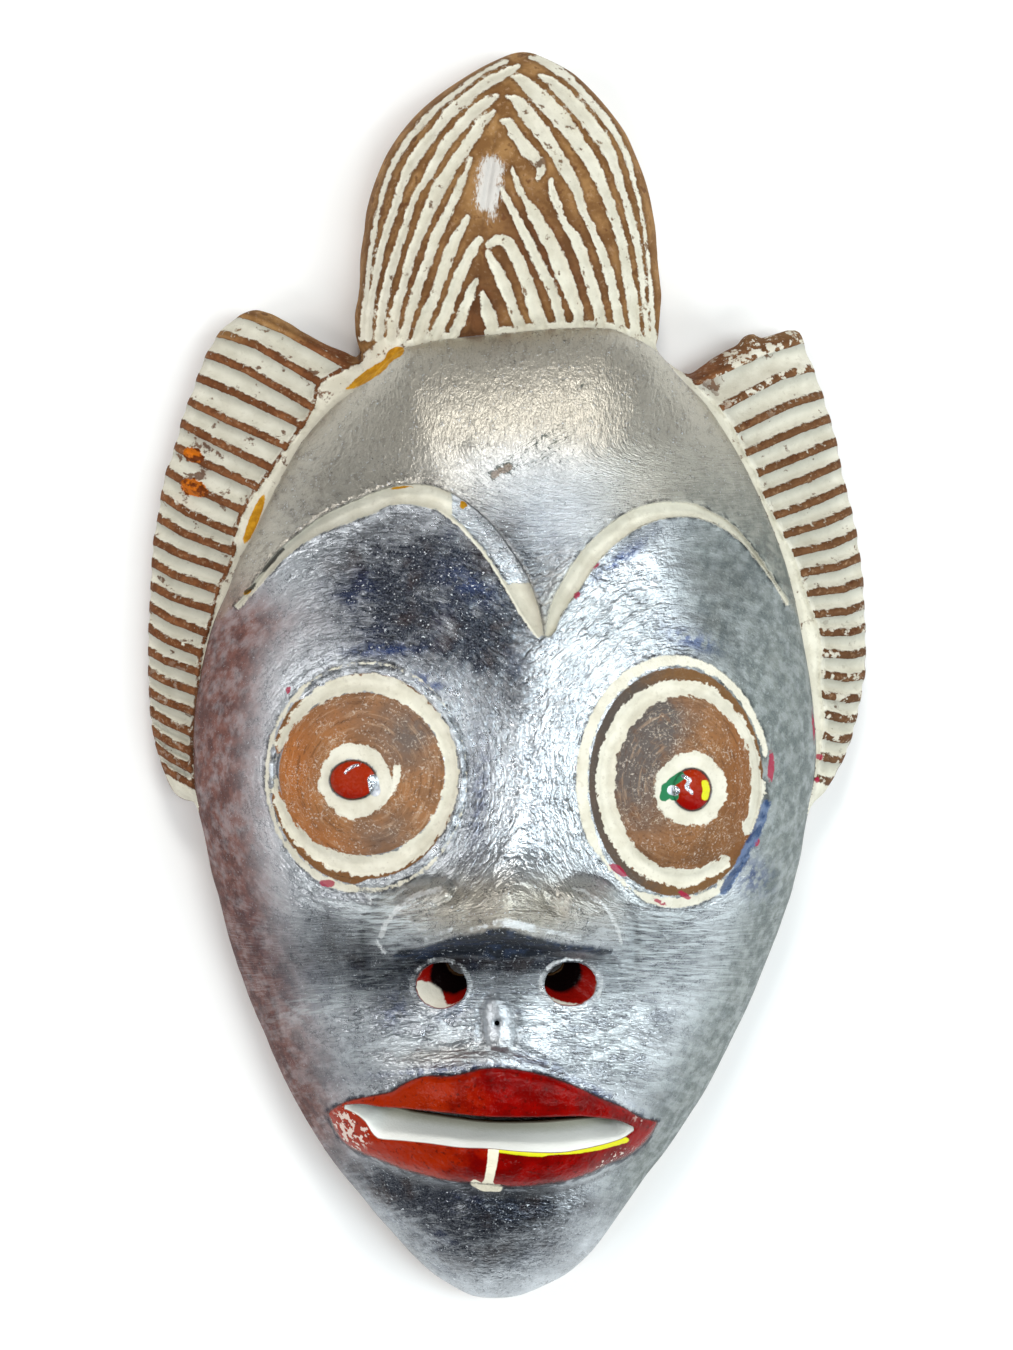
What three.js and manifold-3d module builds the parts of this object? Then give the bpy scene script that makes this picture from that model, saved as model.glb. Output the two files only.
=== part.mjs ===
// A carved wooden face mask: a pointed oval face with large ringed disc eyes, a
// domed crest over the forehead and a fluted flange on each side of the brow,
// all cut from one block. It lies face up on the flat rim of its back.
// +Y is the top of the mask, +X its right side as seen from the front, +Z the face.
import * as THREE from "three";
import { mergeVertices } from "three/addons/utils/BufferGeometryUtils.js";
import Module from "manifold-3d";

const wasm = await Module();
wasm.setup();

// ---------------------------------------------------------------- sizes (mm)
// The plan is drawn in units of UNIT mm with v running down, as it appears from
// SIGHT mm in front of the back plane; place() spreads it back to true size.
const UNIT = 0.277;
const SIGHT = 1000;
const U0 = 506.5, V0 = 675;
const CENTRE = [510, 760]; // middle of the face, in drawing units

const CROWN_Z = 68; // height of the middle of the face over the back plane
const WALL = 11; // thickness of the wood over the hollow
const RIM = 13; // width of the flat rim round the hollow
const BROW_STEP = 2.4; // forehead over the sunk heart-shaped field
const BROW_CUT = 1.1; // depth of the brow grooves
const NOSE_RISE = 19, ALAE_RISE = 11, MUZZLE_RISE = 4, LIP_RISE = 3.4;
const FLUTE = 1.7; // depth of the flutes
const FLUTE_HALF = 0.33; // half width of a flute as a share of its spacing
const LEFT_FLUTES = 21, RIGHT_FLUTES = 19; // flutes on each flange
const CREST_LEFT = 9.5, CREST_RIGHT = 10.5; // flutes on each half of the crest

const clamp = (x, a = 0, b = 1) => Math.min(b, Math.max(a, x));
const smooth = (a, b, x) => { const t = clamp((x - a) / (b - a)); return t * t * (3 - 2 * t); };
const mix = (a, b, t) => a + (b - a) * t;
const steps = (n, f) => Array.from({ length: n + 1 }, (_, i) => f(i / n));
// Piecewise-linear lookup in a short table of pairs.
const table = (rows, x) => {
  if (x <= rows[0][0]) return rows[0][1];
  for (let i = 1; i < rows.length; i++)
    if (x <= rows[i][0]) return mix(rows[i - 1][1], rows[i][1], (x - rows[i - 1][0]) / (rows[i][0] - rows[i - 1][0]));
  return rows[rows.length - 1][1];
};
const place = (u, v, z) => {
  const s = UNIT * (1 - z / SIGHT);
  return new THREE.Vector3((u - U0) * s, (V0 - v) * s, z);
};

// ---------------------------------------------------------------- face dome
// Outline of the face: crown, temples behind which the flanges start, cheeks, chin.
const FACE = [
  [400, 352], [345, 394], [298, 449], [252, 536], [214, 624], [196, 710],
  [197, 797], [223, 914], [265, 1034], [328, 1154], [434, 1274], [495, 1297],
  [566, 1274], [663, 1154], [734, 1034], [784, 914], [810, 797], [812, 690],
  [784, 560], [724, 432], [655, 354], [610, 331], [540, 328], [470, 336],
];
const faceCurve = new THREE.CatmullRomCurve3(FACE.map(([u, v]) => new THREE.Vector3(u, v, 0)), true, "centripetal");
const polar = faceCurve.getPoints(480).slice(0, 480)
  .map((p) => [Math.atan2(CENTRE[1] - p.y, p.x - CENTRE[0]), Math.hypot(p.x - CENTRE[0], p.y - CENTRE[1])])
  .sort((a, b) => a[0] - b[0]);
const around = [
  [polar[polar.length - 1][0] - 2 * Math.PI, polar[polar.length - 1][1]],
  ...polar,
  [polar[0][0] + 2 * Math.PI, polar[0][1]],
];
const reach = (th) => table(around, Math.atan2(Math.sin(th), Math.cos(th)));
// Height of the edge of the face: high behind crest and flanges, low at the chin.
const edgeHeight = (th) => {
  const v = CENTRE[1] - reach(th) * Math.sin(th);
  return mix(mix(38, 31, smooth(330, 430, v)), mix(24, 13, smooth(780, 1000, v)), smooth(430, 830, v));
};
const domeAt = (rho, th) => {
  const ze = edgeHeight(th);
  const p = 1.8 + 0.8 * Math.sin(th) ** 2;
  return ze + (CROWN_Z - ze) * Math.pow(1 - Math.pow(clamp(rho), p), 0.6);
};
const rhoOf = (u, v) => {
  const th = Math.atan2(CENTRE[1] - v, u - CENTRE[0]);
  return [Math.hypot(u - CENTRE[0], v - CENTRE[1]) / reach(th), th];
};
const dome = (u, v) => domeAt(...rhoOf(u, v));

// ---------------------------------------------------------------- brows
// Each brow is a lopsided arch: [middle, top, half width and drop and power of
// the left limb, the same of the right limb].
const arch = ([m, t, wl, dl, pl, wr, dr, pr]) => (u) =>
  u < m ? t + dl * Math.pow((m - u) / wl, pl) : t + dr * Math.pow((u - m) / wr, pr);
const BROWS = [
  { from: 240, to: 543, up: arch([405, 484, 165, 118, 1.86, 138, 146, 2.9]), low: arch([405, 504, 160, 98, 1.8, 133, 130, 2.6]) },
  { from: 546, to: 787, up: arch([675, 502, 130, 130, 2.9, 112, 95, 2.05]), low: arch([682, 517, 127, 115, 2.2, 105, 82, 1.9]) },
];
const browLine = (u) => (u < 544.5 ? BROWS[0].up(clamp(u, 240, 543)) : BROWS[1].up(clamp(u, 546, 787)));

// ---------------------------------------------------------------- eyes
// Nested ellipses from the outside in: centre, radii, height over the field. The
// last two are the small boss of the pupil.
const EYES = [
  [
    [364.6, 777, 106, 119, 0], [364.6, 777, 104, 117, -0.7], [364.6, 776.5, 100.5, 111, 1.3],
    [364.6, 775, 95.3, 101, 0.9], [363.5, 774.5, 89, 92, -0.3], [362, 774, 83, 82, 1.8],
    [359, 777, 60, 60, 4.0], [355, 780.5, 36, 37.5, 4.8], [355, 780, 31, 30, 3.9],
    [354, 780, 25, 21, 4.0], [354, 780, 19, 16, 5.6],
  ],
  [
    [674, 783.6, 100, 127, 0], [674, 783.6, 98, 125, -0.7], [675.5, 782.5, 92, 116, 1.4],
    [677.7, 782, 85, 103.7, 0.9], [679.5, 783, 79, 96, -0.3], [681, 784, 73, 89, 1.8],
    [686, 787, 53, 62, 4.0], [691, 790, 35, 35, 4.8], [692, 790, 29, 30, 3.9],
    [692, 789.6, 20, 22, 4.0], [692, 789.6, 14, 16, 5.6],
  ],
];

// ---------------------------------------------------------------- nose
const noseMid = (v) => 545 - (45 * (v - 640)) / 295;
const noseFront = arch([500, 932, 122, 26, 1.3, 118, 22, 1.1]);
const NOSE_WIDE = [[640, 17], [700, 25], [780, 34], [845, 46], [868, 72], [890, 103], [912, 118], [935, 124], [980, 127]];
const noseHeight = (u, v) => {
  const front = noseFront(clamp(u, 378, 618));
  const vv = Math.min(v, front);
  const x = (u - noseMid(vv)) / table([[640, 14], [780, 30], [860, 42], [935, 66]], vv);
  const ridge = table([[640, 0], [700, 3.5], [780, 7], [850, 12], [900, 16], [935, NOSE_RISE]], vv) * Math.pow(clamp(1 - x * x), 0.7);
  const wing = ALAE_RISE * Math.pow(clamp(1 - ((u - 500) / 123) ** 2 - ((vv - 950) / 70) ** 2), 0.42);
  const h = Math.pow(Math.pow(ridge, 4) + Math.pow(wing, 4), 0.25);
  return h * (1 - smooth(0, 16, v - front));
};

// ---------------------------------------------------------------- mouth
const lipTop = arch([490, 1068, 160, 44, 1.5, 166, 54, 1.5]);
const lipBottom = arch([510, 1186, 180, 66, 2.45, 145, 61, 2.4]);
const muzzleTop = arch([500, 1046, 180, 30, 2.2, 160, 68, 1.35]);
const mouthHeight = (u, v) => {
  const k = clamp(1 - ((u - 492) / 172) ** 2);
  const t = lipTop(u), b = lipBottom(u);
  const muzzle = MUZZLE_RISE * Math.sqrt(k) * smooth(muzzleTop(u) - 16, muzzleTop(u) + 6, v) * (1 - smooth(b - 2, b + 10, v));
  const q = clamp((2 * v - t - b) / Math.max(b - t, 1), -1, 1);
  const lip = LIP_RISE * Math.pow(k, 0.4) * Math.pow(1 - q ** 6, 0.6);
  const dip = -1.6 * k * smooth(b - 2, b + 8, v) * (1 - smooth(b + 10, b + 44, v));
  return muzzle + lip + dip;
};

const face = (u, v) => dome(u, v) + noseHeight(u, v) + mouthHeight(u, v);

// ---------------------------------------------------------------- solids
const solid = (geometry) => {
  const g = geometry.clone();
  g.deleteAttribute("normal");
  g.deleteAttribute("uv");
  const m = mergeVertices(g, 1e-4);
  const idx = m.index.array, kept = [];
  for (let i = 0; i < idx.length; i += 3)
    if (idx[i] !== idx[i + 1] && idx[i + 1] !== idx[i + 2] && idx[i + 2] !== idx[i]) kept.push(idx[i], idx[i + 1], idx[i + 2]);
  const tri = new Uint32Array(kept);
  let s = new wasm.Manifold(new wasm.Mesh({ numProp: 3, vertProperties: new Float32Array(m.attributes.position.array), triVerts: tri }));
  if (s.volume() < 0) {
    for (let i = 0; i < tri.length; i += 3) [tri[i + 1], tri[i + 2]] = [tri[i + 2], tri[i + 1]];
    s = new wasm.Manifold(new wasm.Mesh({ numProp: 3, vertProperties: new Float32Array(m.attributes.position.array), triVerts: tri }));
  }
  return s;
};
// A block of nu by nv columns whose corners come from at(i, j, top). Its
// underside may use only every su-th and sv-th line of corners.
const reliefBox = (nu, nv, at, su = 1, sv = 1) => {
  const every = (k, n, s) => (k === n ? n : k - (k % s));
  const g = new THREE.BoxGeometry(nu, nv, 1, nu, nv, 1);
  const p = g.attributes.position;
  for (let n = 0; n < p.count; n++) {
    const i = Math.round(p.getX(n) + nu / 2), j = Math.round(p.getY(n) + nv / 2), top = p.getZ(n) > 0;
    const q = top ? at(i, j, true) : at(every(i, nu, su), every(j, nv, sv), false);
    p.setXYZ(n, q.x, q.y, q.z);
  }
  return solid(g);
};
// A round block: rings from the bottom middle over the rim to the top middle.
const reliefDisc = (segs, rings, at) => {
  const n = rings.length;
  const profile = rings.map((_, j) => new THREE.Vector2(j === 0 || j === n - 1 ? 0 : 1 + j * 0.001, j));
  const g = new THREE.LatheGeometry(profile, segs);
  const p = g.attributes.position;
  for (let i = 0; i <= segs; i++)
    for (let j = 0; j < n; j++) {
      const q = at(rings[j], (2 * Math.PI * (i % segs)) / segs, j === 0 || j === n - 1);
      p.setXYZ(i * n + j, q.x, q.y, q.z);
    }
  return solid(g);
};
const faceAt = (rho, th, z) => {
  const r = rho * reach(th);
  return place(CENTRE[0] + r * Math.cos(th), CENTRE[1] - r * Math.sin(th), z);
};

// The face: a domed disc with an upright side and a flat back.
const HEAD_SEGS = 60, HEAD_RINGS = 9;
const headRings = [
  { back: 0 }, { back: 0.985 }, { side: 3 },
  ...steps(HEAD_RINGS, (t) => ({ rho: 1 - Math.pow(t, 1.75) })),
];
let mask = reliefDisc(HEAD_SEGS, headRings, (r, turn) => {
  // columns are spread evenly along the outline
  const o = faceCurve.getPointAt(turn / (2 * Math.PI)), th = Math.atan2(CENTRE[1] - o.y, o.x - CENTRE[0]);
  const rim = faceAt(1, th, edgeHeight(th));
  if (r.back !== undefined) return new THREE.Vector3(rim.x * r.back, rim.y * r.back, 0);
  if (r.side !== undefined) return new THREE.Vector3(rim.x, rim.y, r.side);
  return faceAt(r.rho, th, domeAt(r.rho, th));
});

// The forehead stands over the brow grooves and fades into the dome above.
const along = (f, from, to, n) => {
  const fine = steps(200, (t) => [mix(from, to, t), f(mix(from, to, t))]);
  const len = [0];
  for (let i = 1; i < fine.length; i++) len.push(len[i - 1] + Math.hypot(fine[i][0] - fine[i - 1][0], fine[i][1] - fine[i - 1][1]));
  return steps(n, (t) => {
    const i = Math.max(1, len.findIndex((l) => l >= t * len[200] - 1e-9));
    const k = clamp((t * len[200] - len[i - 1]) / (len[i] - len[i - 1]));
    return [mix(fine[i - 1][0], fine[i][0], k), mix(fine[i - 1][1], fine[i][1], k)];
  });
};
const BROW_DIV = 11;
const browEdge = [...along(BROWS[0].up, 240, 543, BROW_DIV), ...along(BROWS[1].up, 546, 787, BROW_DIV)];
const RISES = [0, 14, 38, 76];
const inside = (u, v) => {
  const [rho, th] = rhoOf(u, v);
  if (rho < 0.985) return [u, v];
  return [CENTRE[0] + 0.985 * reach(th) * Math.cos(th), CENTRE[1] - 0.985 * reach(th) * Math.sin(th)];
};
mask = mask.add(
  reliefBox(browEdge.length - 1, RISES.length - 1, (i, j, top) => {
    const [u, v] = inside(browEdge[i][0], browEdge[i][1] - RISES[j]);
    const last = j === RISES.length - 1;
    const rise = last ? -1 : BROW_STEP * Math.exp(-RISES[j] / 42);
    return place(u, v, dome(u, v) + (top ? rise : -6));
  }),
);
// Brow grooves: flat-bottomed cuts between the upper and the lower arch.
for (const b of BROWS) {
  const up = along(b.up, b.from, b.to, BROW_DIV), low = along(b.low, b.from + 5, b.to - 4, BROW_DIV);
  mask = mask.subtract(
    reliefBox(BROW_DIV, 1, (i, j, top) => {
      const [u, v] = j ? up[i] : low[i];
      return place(u, v, dome(u, v) + (top ? 12 : -BROW_CUT));
    }),
  );
}

// Eyes: the field is cleared under each one and the ringed disc set in.
const EYE_SEGS = 28;
for (const rings of EYES) {
  const at = (grow) => (r, th, pole) => {
    const [u, v] = pole ? [rings[10][0], rings[10][1]] : [r[0] + (r[2] + grow) * Math.cos(th), r[1] - (r[3] + grow) * Math.sin(th)];
    return place(u, v, dome(u, v) + r[4]);
  };
  const o = rings[0], c = rings[10];
  const bottom = (z) => [[c[0], c[1], 0, 0, z], [o[0], o[1], o[2], o[3], z]];
  mask = mask
    .subtract(reliefDisc(EYE_SEGS, [...bottom(-4), [o[0], o[1], o[2], o[3], 30], [c[0], c[1], 0, 0, 30]], at(0)))
    .add(reliefDisc(EYE_SEGS, [...bottom(-6), ...rings, [c[0], c[1], 0, 0, 6.1]], at(0.2)));
}

// Nose: narrow bridge widening to broad flat wings over an undercut front.
const patch = (nu, nv, at, height, sink, grow) => {
  const column = (dz) => (i, j, top) => {
    const [u, v] = at(i, j);
    return place(u, v, top ? height(u, v) + dz : dome(u, v) - sink - (dz ? 0 : 2));
  };
  const inner = at;
  mask = mask.subtract(reliefBox(nu, nv, column(60)));
  at = (i, j) => {
    const [u, v] = inner(i, j);
    return [u + (i === 0 ? -grow : i === nu ? grow : 0), v + (j === 0 ? -grow : j === nv ? grow : 0)];
  };
  mask = mask.add(reliefBox(nu, nv, column(0)));
};
const NOSE_ROWS = [640, 700, 765, 825, 862, 882, 902, { f: -6 }, { f: 0 }, { f: 6 }, { f: 16 }, { f: 24 }];
const NOSE_COLS = [-1, -0.88, -0.65, -0.42, -0.2, 0, 0.2, 0.42, 0.65, 0.88, 1];
patch(NOSE_COLS.length - 1, NOSE_ROWS.length - 1, (i, j) => {
  const row = NOSE_ROWS[j], x = NOSE_COLS[i];
  if (row.f === undefined) return [mix(noseMid(row), 500, smooth(840, 900, row)) + x * table(NOSE_WIDE, row), row];
  const u = 500 + x * table(NOSE_WIDE, 935 + row.f);
  return [u, noseFront(clamp(u, 378, 618)) + row.f];
}, face, 4, 0.2);

// Mouth: a low muzzle with two full lips that meet at the corners.
const MOUTH_DIV = 13;
patch(MOUTH_DIV, 10, (i, j) => {
  const u = mix(326, 660, i / MOUTH_DIV);
  const t = lipTop(u), b = Math.max(lipBottom(u), t + 6), m = Math.min(muzzleTop(u), t - 8);
  let lowest = 1000; // where the side of the chin begins under this column
  for (let d = 128; d > 0.5; d /= 2) if (rhoOf(u, lowest + d)[0] < 0.955) lowest += d;
  const v = [m - 18, m + 5, t - 1, t + 0.08 * (b - t), t + 0.32 * (b - t), b - 0.32 * (b - t), b - 0.08 * (b - t), b + 1, b + 9, b + 19, b + 31][j];
  return [u, Math.min(v, lowest - 1.6 * (10 - j))];
}, face, 4, 0.2);

// ---------------------------------------------------------------- hollow and holes
// Hollow of the back: an oval bowl that follows the face.
mask = mask.subtract(
  reliefDisc(40, [{ low: 0 }, { low: 1 }, ...steps(6, (t) => ({ q: 1 - Math.pow(t, 1.6) }))], (r, th) => {
    const wide = (UNIT * reach(th) * (1 - edgeHeight(th) / SIGHT) - RIM);
    const mid = place(CENTRE[0], CENTRE[1], 0);
    const q = r.low ?? r.q;
    const z = r.low !== undefined ? -5 : (CROWN_Z - WALL) * Math.pow(1 - Math.pow(clamp(q), 3.2), 0.52);
    return new THREE.Vector3(mid.x + q * wide * Math.cos(th), mid.y + q * wide * Math.sin(th), z);
  }),
);
// Mouth slot, slanting back and up through the wall.
const SLOT = [[20, 1084, 1100], [44, 1099, 1117], [66, 1112, 1149], [100, 1112, 1149]];
for (let s = 0; s < 3; s++)
  mask = mask.subtract(
    reliefBox(10, 1, (i, j, top) => {
      const k = i / 10, [z, a, b] = SLOT[s + (top ? 1 : 0)];
      const open = Math.pow(clamp(1 - (2 * k - 1) ** 4), 0.6), m = (a + b) / 2 + mix(-8, 4, k), h = ((b - a) / 2) * mix(0.12, 1, open);
      return place(mix(346, 632, k), m + (j ? -h : h), z + (top && s < 2 ? 0.02 : 0));
    }),
  );
// Nostrils, slanting in towards the bridge.
for (const [u, v, ru, ub, vb] of [[441, 986, 25, 466, 952], [571, 984, 26, 546, 952]]) {
  const front = place(u, v, 67), back = place(ub, vb, 42);
  const way = front.clone().sub(back);
  const bore = new THREE.CylinderGeometry(ru * UNIT, ru * UNIT * 0.7, way.length() * 1.9, 18);
  bore.applyQuaternion(new THREE.Quaternion().setFromUnitVectors(new THREE.Vector3(0, 1, 0), way.clone().normalize()));
  bore.translate(...back.clone().addScaledVector(way, 0.55).toArray());
  mask = mask.subtract(solid(bore));
}

// ---------------------------------------------------------------- crest
const seam = (v) => 520 - 50 * Math.pow(clamp((v - 52) / 280, 0, 1.2), 0.6);
const bez = (a, b, c, t) => (1 - t) * (1 - t) * a + 2 * t * (1 - t) * b + t * t * c;
// Flute line s of one half (0 outline, 1 beside the seam), point t down its length.
const crestLine = (side, s, t) => {
  const sv = 52 + 250 * Math.pow(s, 1.3), su = seam(sv);
  const eu = side < 0 ? 356 + 106 * s : 659 - 163 * s, ev = 338 - (side < 0 ? 0 : 8 * s);
  const cu = eu + (side < 0 ? -12 : 20) * (1 - s), cv = sv + (side < 0 ? 51 : 43) * (1 - s) + 12 * s;
  return t <= 1 ? [bez(su, cu, eu, t), bez(sv, cv, ev, t)] : [eu, ev + 26 * (t - 1)];
};
const crestHeight = (side, u, v) => {
  const h = side < 0 ? 51 : 43; // the outline's height law, solved for its parameter
  const t = (-h + Math.sqrt(h * h + (286 - 2 * h) * clamp(v - 52, 0, 286))) / (286 - 2 * h);
  const [edge] = crestLine(side, 0, t), m = seam(v);
  const q = clamp(((u - m) * side) / Math.max(1, (edge - m) * side));
  const low = mix(15, 20, clamp((v - 52) / 286));
  const top = 15 + 28 * Math.pow(1 - Math.pow(clamp((332 - v) / 280), 2.2), 0.6) - 8 * smooth(255, 345, v);
  return low + Math.max(0, top - low) * Math.pow(1 - Math.pow(q, 2.3), 0.55);
};
// Depth of a flute at a phase of its spacing, 0 in the middle of the flute.
const fluteCut = (phase) => {
  const d = Math.abs(phase - Math.round(phase));
  return d < FLUTE_HALF ? FLUTE * Math.cos((Math.PI / 2) * (d / FLUTE_HALF)) ** 0.8 : 0;
};
const CREST_T = [0, 0.12, 0.3, 0.52, 0.76, 1];
for (const side of [-1, 1]) {
  const n = side < 0 ? CREST_LEFT : CREST_RIGHT;
  const lines = [0];
  for (let j = 1; j < n; j++) lines.push((j - FLUTE_HALF) / n, j / n, (j + FLUTE_HALF) / n);
  lines.push(1);
  mask = mask.add(
    reliefBox(lines.length - 1, CREST_T.length + 1, (i, j, top) => {
      const s = lines[i];
      let [u, v] = crestLine(side, s, j === 0 ? 0 : j > CREST_T.length ? 2 : CREST_T[j - 1]);
      let z = crestHeight(side, u, v) - fluteCut(s * n);
      if (j === 0) { u -= side * 4; z -= 2; v += 1; }
      const p = place(u, v, z);
      return top ? p : new THREE.Vector3(p.x, p.y, 0);
    }, 7),
  );
}
// Plain wedge between the halves at the foot of the seam.
mask = mask.add(
  reliefBox(2, 4, (i, j, top) => {
    const l = crestLine(-1, 0.97, (j * 2) / 4), r = crestLine(1, 0.97, (j * 2) / 4);
    const u = mix(l[0] - 3, r[0] + 3, i / 2), v = mix(l[1], r[1], i / 2);
    const p = place(u, v, crestHeight(u < seam(v) ? -1 : 1, u, v) - 0.5 - (j === 4 ? 3 : 0));
    return top ? p : new THREE.Vector3(p.x, p.y, 0);
  }),
);

// ---------------------------------------------------------------- flanges
// Ridge ends beside the face and at the outer edge, top to bottom.
const FLANGES = [
  {
    n: LEFT_FLUTES,
    bulge: 2,
    inner: [[357, 361], [316, 400], [282, 457], [248, 506], [229, 566], [210, 620], [199, 680], [192, 748], [197, 800]],
    outer: [[254, 309], [218, 335], [188, 400], [168, 470], [153, 560], [148, 650], [152, 712], [164, 764], [178, 800]],
  },
  {
    n: RIGHT_FLUTES,
    bulge: 13,
    inner: [[688, 373], [720, 410], [757, 473], [788, 542], [810, 604], [820, 660], [822, 720], [818, 768], [810, 802]],
    outer: [[799, 331], [818, 378], [840, 458], [856, 540], [865, 615], [865, 672], [854, 728], [834, 778], [814, 802]],
  },
];
for (const f of FLANGES) {
  const curve = (pts) => new THREE.SplineCurve(pts.map(([u, v]) => new THREE.Vector2(u, v)));
  const inner = curve(f.inner), outer = curve(f.outer);
  const rows = [];
  for (let j = 0; j < f.n; j++) rows.push((j + 0.5 - FLUTE_HALF) / f.n, (j + 0.5) / f.n, (j + 0.5 + FLUTE_HALF) / f.n);
  rows.unshift(0);
  rows.push(1);
  const A = [-1, 0, 0.5, 0.88, 1];
  mask = mask.add(
    reliefBox(A.length - 1, rows.length - 1, (i, j, top) => {
      const a = A[i], b = rows[j], p = inner.getPointAt(b), q = outer.getPointAt(b);
      const d = Math.abs(b * f.n - 0.5 - Math.round(b * f.n - 0.5));
      const cut = d < FLUTE_HALF - 1e-6 && b > 0 && b < 1 ? FLUTE : 0;
      const high = mix(mix(30, 21, b), mix(17, 15, b), clamp(a)) - 3.4 * smooth(0.78, 1, a);
      let u, v, z;
      if (a < 0) {
        // runs on under the side of the face
        const [, th] = rhoOf(p.x, p.y), r = reach(th);
        const k = a === -1 ? Math.min(1, (Math.hypot(p.x - CENTRE[0], p.y - CENTRE[1]) - 5) / r) : 0.93;
        u = CENTRE[0] + k * r * Math.cos(th);
        v = CENTRE[1] - k * r * Math.sin(th);
        z = Math.min(high - FLUTE * 0.7, edgeHeight(th) - 0.5) - (a === -2 ? 2 : 0);
      } else {
        u = mix(p.x, q.x, a);
        v = mix(p.y, q.y, a) - f.bulge * 4 * a * (1 - a) * clamp(1 - b * f.n * 2);
        z = high - cut;
      }
      const w = place(u, v, z);
      return top ? w : new THREE.Vector3(w.x, w.y, 4 * smooth(0.1, 0.8, a));
    }, 2, 6),
  );
}

// ---------------------------------------------------------------- node
const group = new THREE.Group();
const got = mask.getMesh();
const geometry = new THREE.BufferGeometry();
geometry.setAttribute("position", new THREE.BufferAttribute(new Float32Array(got.vertProperties), 3));
geometry.setIndex(new THREE.BufferAttribute(new Uint32Array(got.triVerts), 1));
geometry.computeVertexNormals();
const mesh = new THREE.Mesh(geometry, new THREE.MeshStandardMaterial({ color: 0x8f9294, roughness: 0.48, metalness: 0.55 }));
mesh.name = "carved_mask";
mesh.position.set(-0.18, -0.15, 0); // origin under the middle of the plan
group.add(mesh);
group.name = "face_mask";
export default group;
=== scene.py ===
import math

import bpy
import numpy as np
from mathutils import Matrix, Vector
from mathutils.geometry import delaunay_2d_cdt


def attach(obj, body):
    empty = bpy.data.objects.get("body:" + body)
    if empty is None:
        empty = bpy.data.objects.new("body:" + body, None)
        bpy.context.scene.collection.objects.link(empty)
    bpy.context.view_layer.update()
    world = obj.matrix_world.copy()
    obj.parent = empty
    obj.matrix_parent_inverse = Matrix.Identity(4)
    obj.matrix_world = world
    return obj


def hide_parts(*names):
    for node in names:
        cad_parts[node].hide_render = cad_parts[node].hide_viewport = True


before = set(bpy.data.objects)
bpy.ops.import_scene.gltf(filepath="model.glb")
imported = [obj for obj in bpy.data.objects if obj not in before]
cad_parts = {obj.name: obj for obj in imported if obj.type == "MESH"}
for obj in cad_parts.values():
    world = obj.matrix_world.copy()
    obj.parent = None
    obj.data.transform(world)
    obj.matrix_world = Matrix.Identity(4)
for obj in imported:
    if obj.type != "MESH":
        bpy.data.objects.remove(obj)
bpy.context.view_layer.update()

for default in ("Cube", "Light", "Camera"):
    if default in bpy.data.objects:
        bpy.data.objects.remove(bpy.data.objects[default])

# ------------------------------------------------------------------ plan units
# The carving is drawn in plan units (u to the right, v down) as it appears from
# SIGHT mm over the back plane; place() spreads it to true size in millimetres.
K = 0.277
SIGHT = 1000.0
U0, V0 = 506.5, 675.0
SHIFT = (-0.18, -0.15)
CU, CV = 510.0, 760.0
CROWN_Z = 68.0
RIM, WALL = 13.0, 11.0


def place(u, v, z):
    s = K * (1 - z / SIGHT)
    return np.stack([(u - U0) * s + SHIFT[0], (V0 - v) * s + SHIFT[1], z + 0 * u], -1)


def sm(a, b, x):
    t = np.clip((x - a) / (b - a), 0, 1)
    return t * t * (3 - 2 * t)


def mix(a, b, t):
    return a + (b - a) * t


_tab = {}


def noise2(x, y, seed=1):
    """Smooth lattice noise, about -1 to 1."""
    if seed not in _tab:
        _tab[seed] = np.random.default_rng(seed).random((128, 128)) * 2 - 1
    T = _tab[seed]
    xf, yf = np.floor(x), np.floor(y)
    i, j = xf.astype(int), yf.astype(int)
    a, b = x - xf, y - yf
    a, b = a * a * a * (a * (a * 6 - 15) + 10), b * b * b * (b * (b * 6 - 15) + 10)
    g = lambda p, q: T[p & 127, q & 127]
    return mix(mix(g(i, j), g(i + 1, j), a), mix(g(i, j + 1), g(i + 1, j + 1), a), b) * 1.6


def spline(pts, n=6, closed=False):
    """Centripetal-looking Catmull-Rom through the points."""
    P = np.asarray(pts, float)
    m = len(P)
    out = []
    for i in range(m if closed else m - 1):
        p0 = P[(i - 1) % m] if closed or i > 0 else 2 * P[0] - P[1]
        p1, p2 = P[i], P[(i + 1) % m]
        p3 = P[(i + 2) % m] if closed or i + 2 < m else 2 * P[-1] - P[-2]
        d = max(np.hypot(*(p2 - p1)), 1e-6)
        k0 = min(1.0, d / max(np.hypot(*(p1 - p0)), 1e-6))
        k3 = min(1.0, d / max(np.hypot(*(p3 - p2)), 1e-6))
        m1 = 0.5 * ((p2 - p1) + (p1 - p0) * k0)
        m2 = 0.5 * ((p3 - p2) * k3 + (p2 - p1))
        for t in np.arange(n) / n:
            out.append((2 * t**3 - 3 * t**2 + 1) * p1 + (t**3 - 2 * t**2 + t) * m1 + (-2 * t**3 + 3 * t**2) * p2 + (t**3 - t**2) * m2)
    if not closed:
        out.append(P[-1])
    return np.array(out)


def resample(P, step, closed=False):
    P = np.asarray(P, float)
    Q = np.vstack([P, P[:1]]) if closed else P
    L = np.concatenate([[0], np.cumsum(np.hypot(*(Q[1:] - Q[:-1]).T))])
    n = max(2, int(round(L[-1] / step)))
    t = np.linspace(0, L[-1], n + 1)
    if closed:
        t = t[:-1]
    return np.stack([np.interp(t, L, Q[:, 0]), np.interp(t, L, Q[:, 1])], -1)


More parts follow.
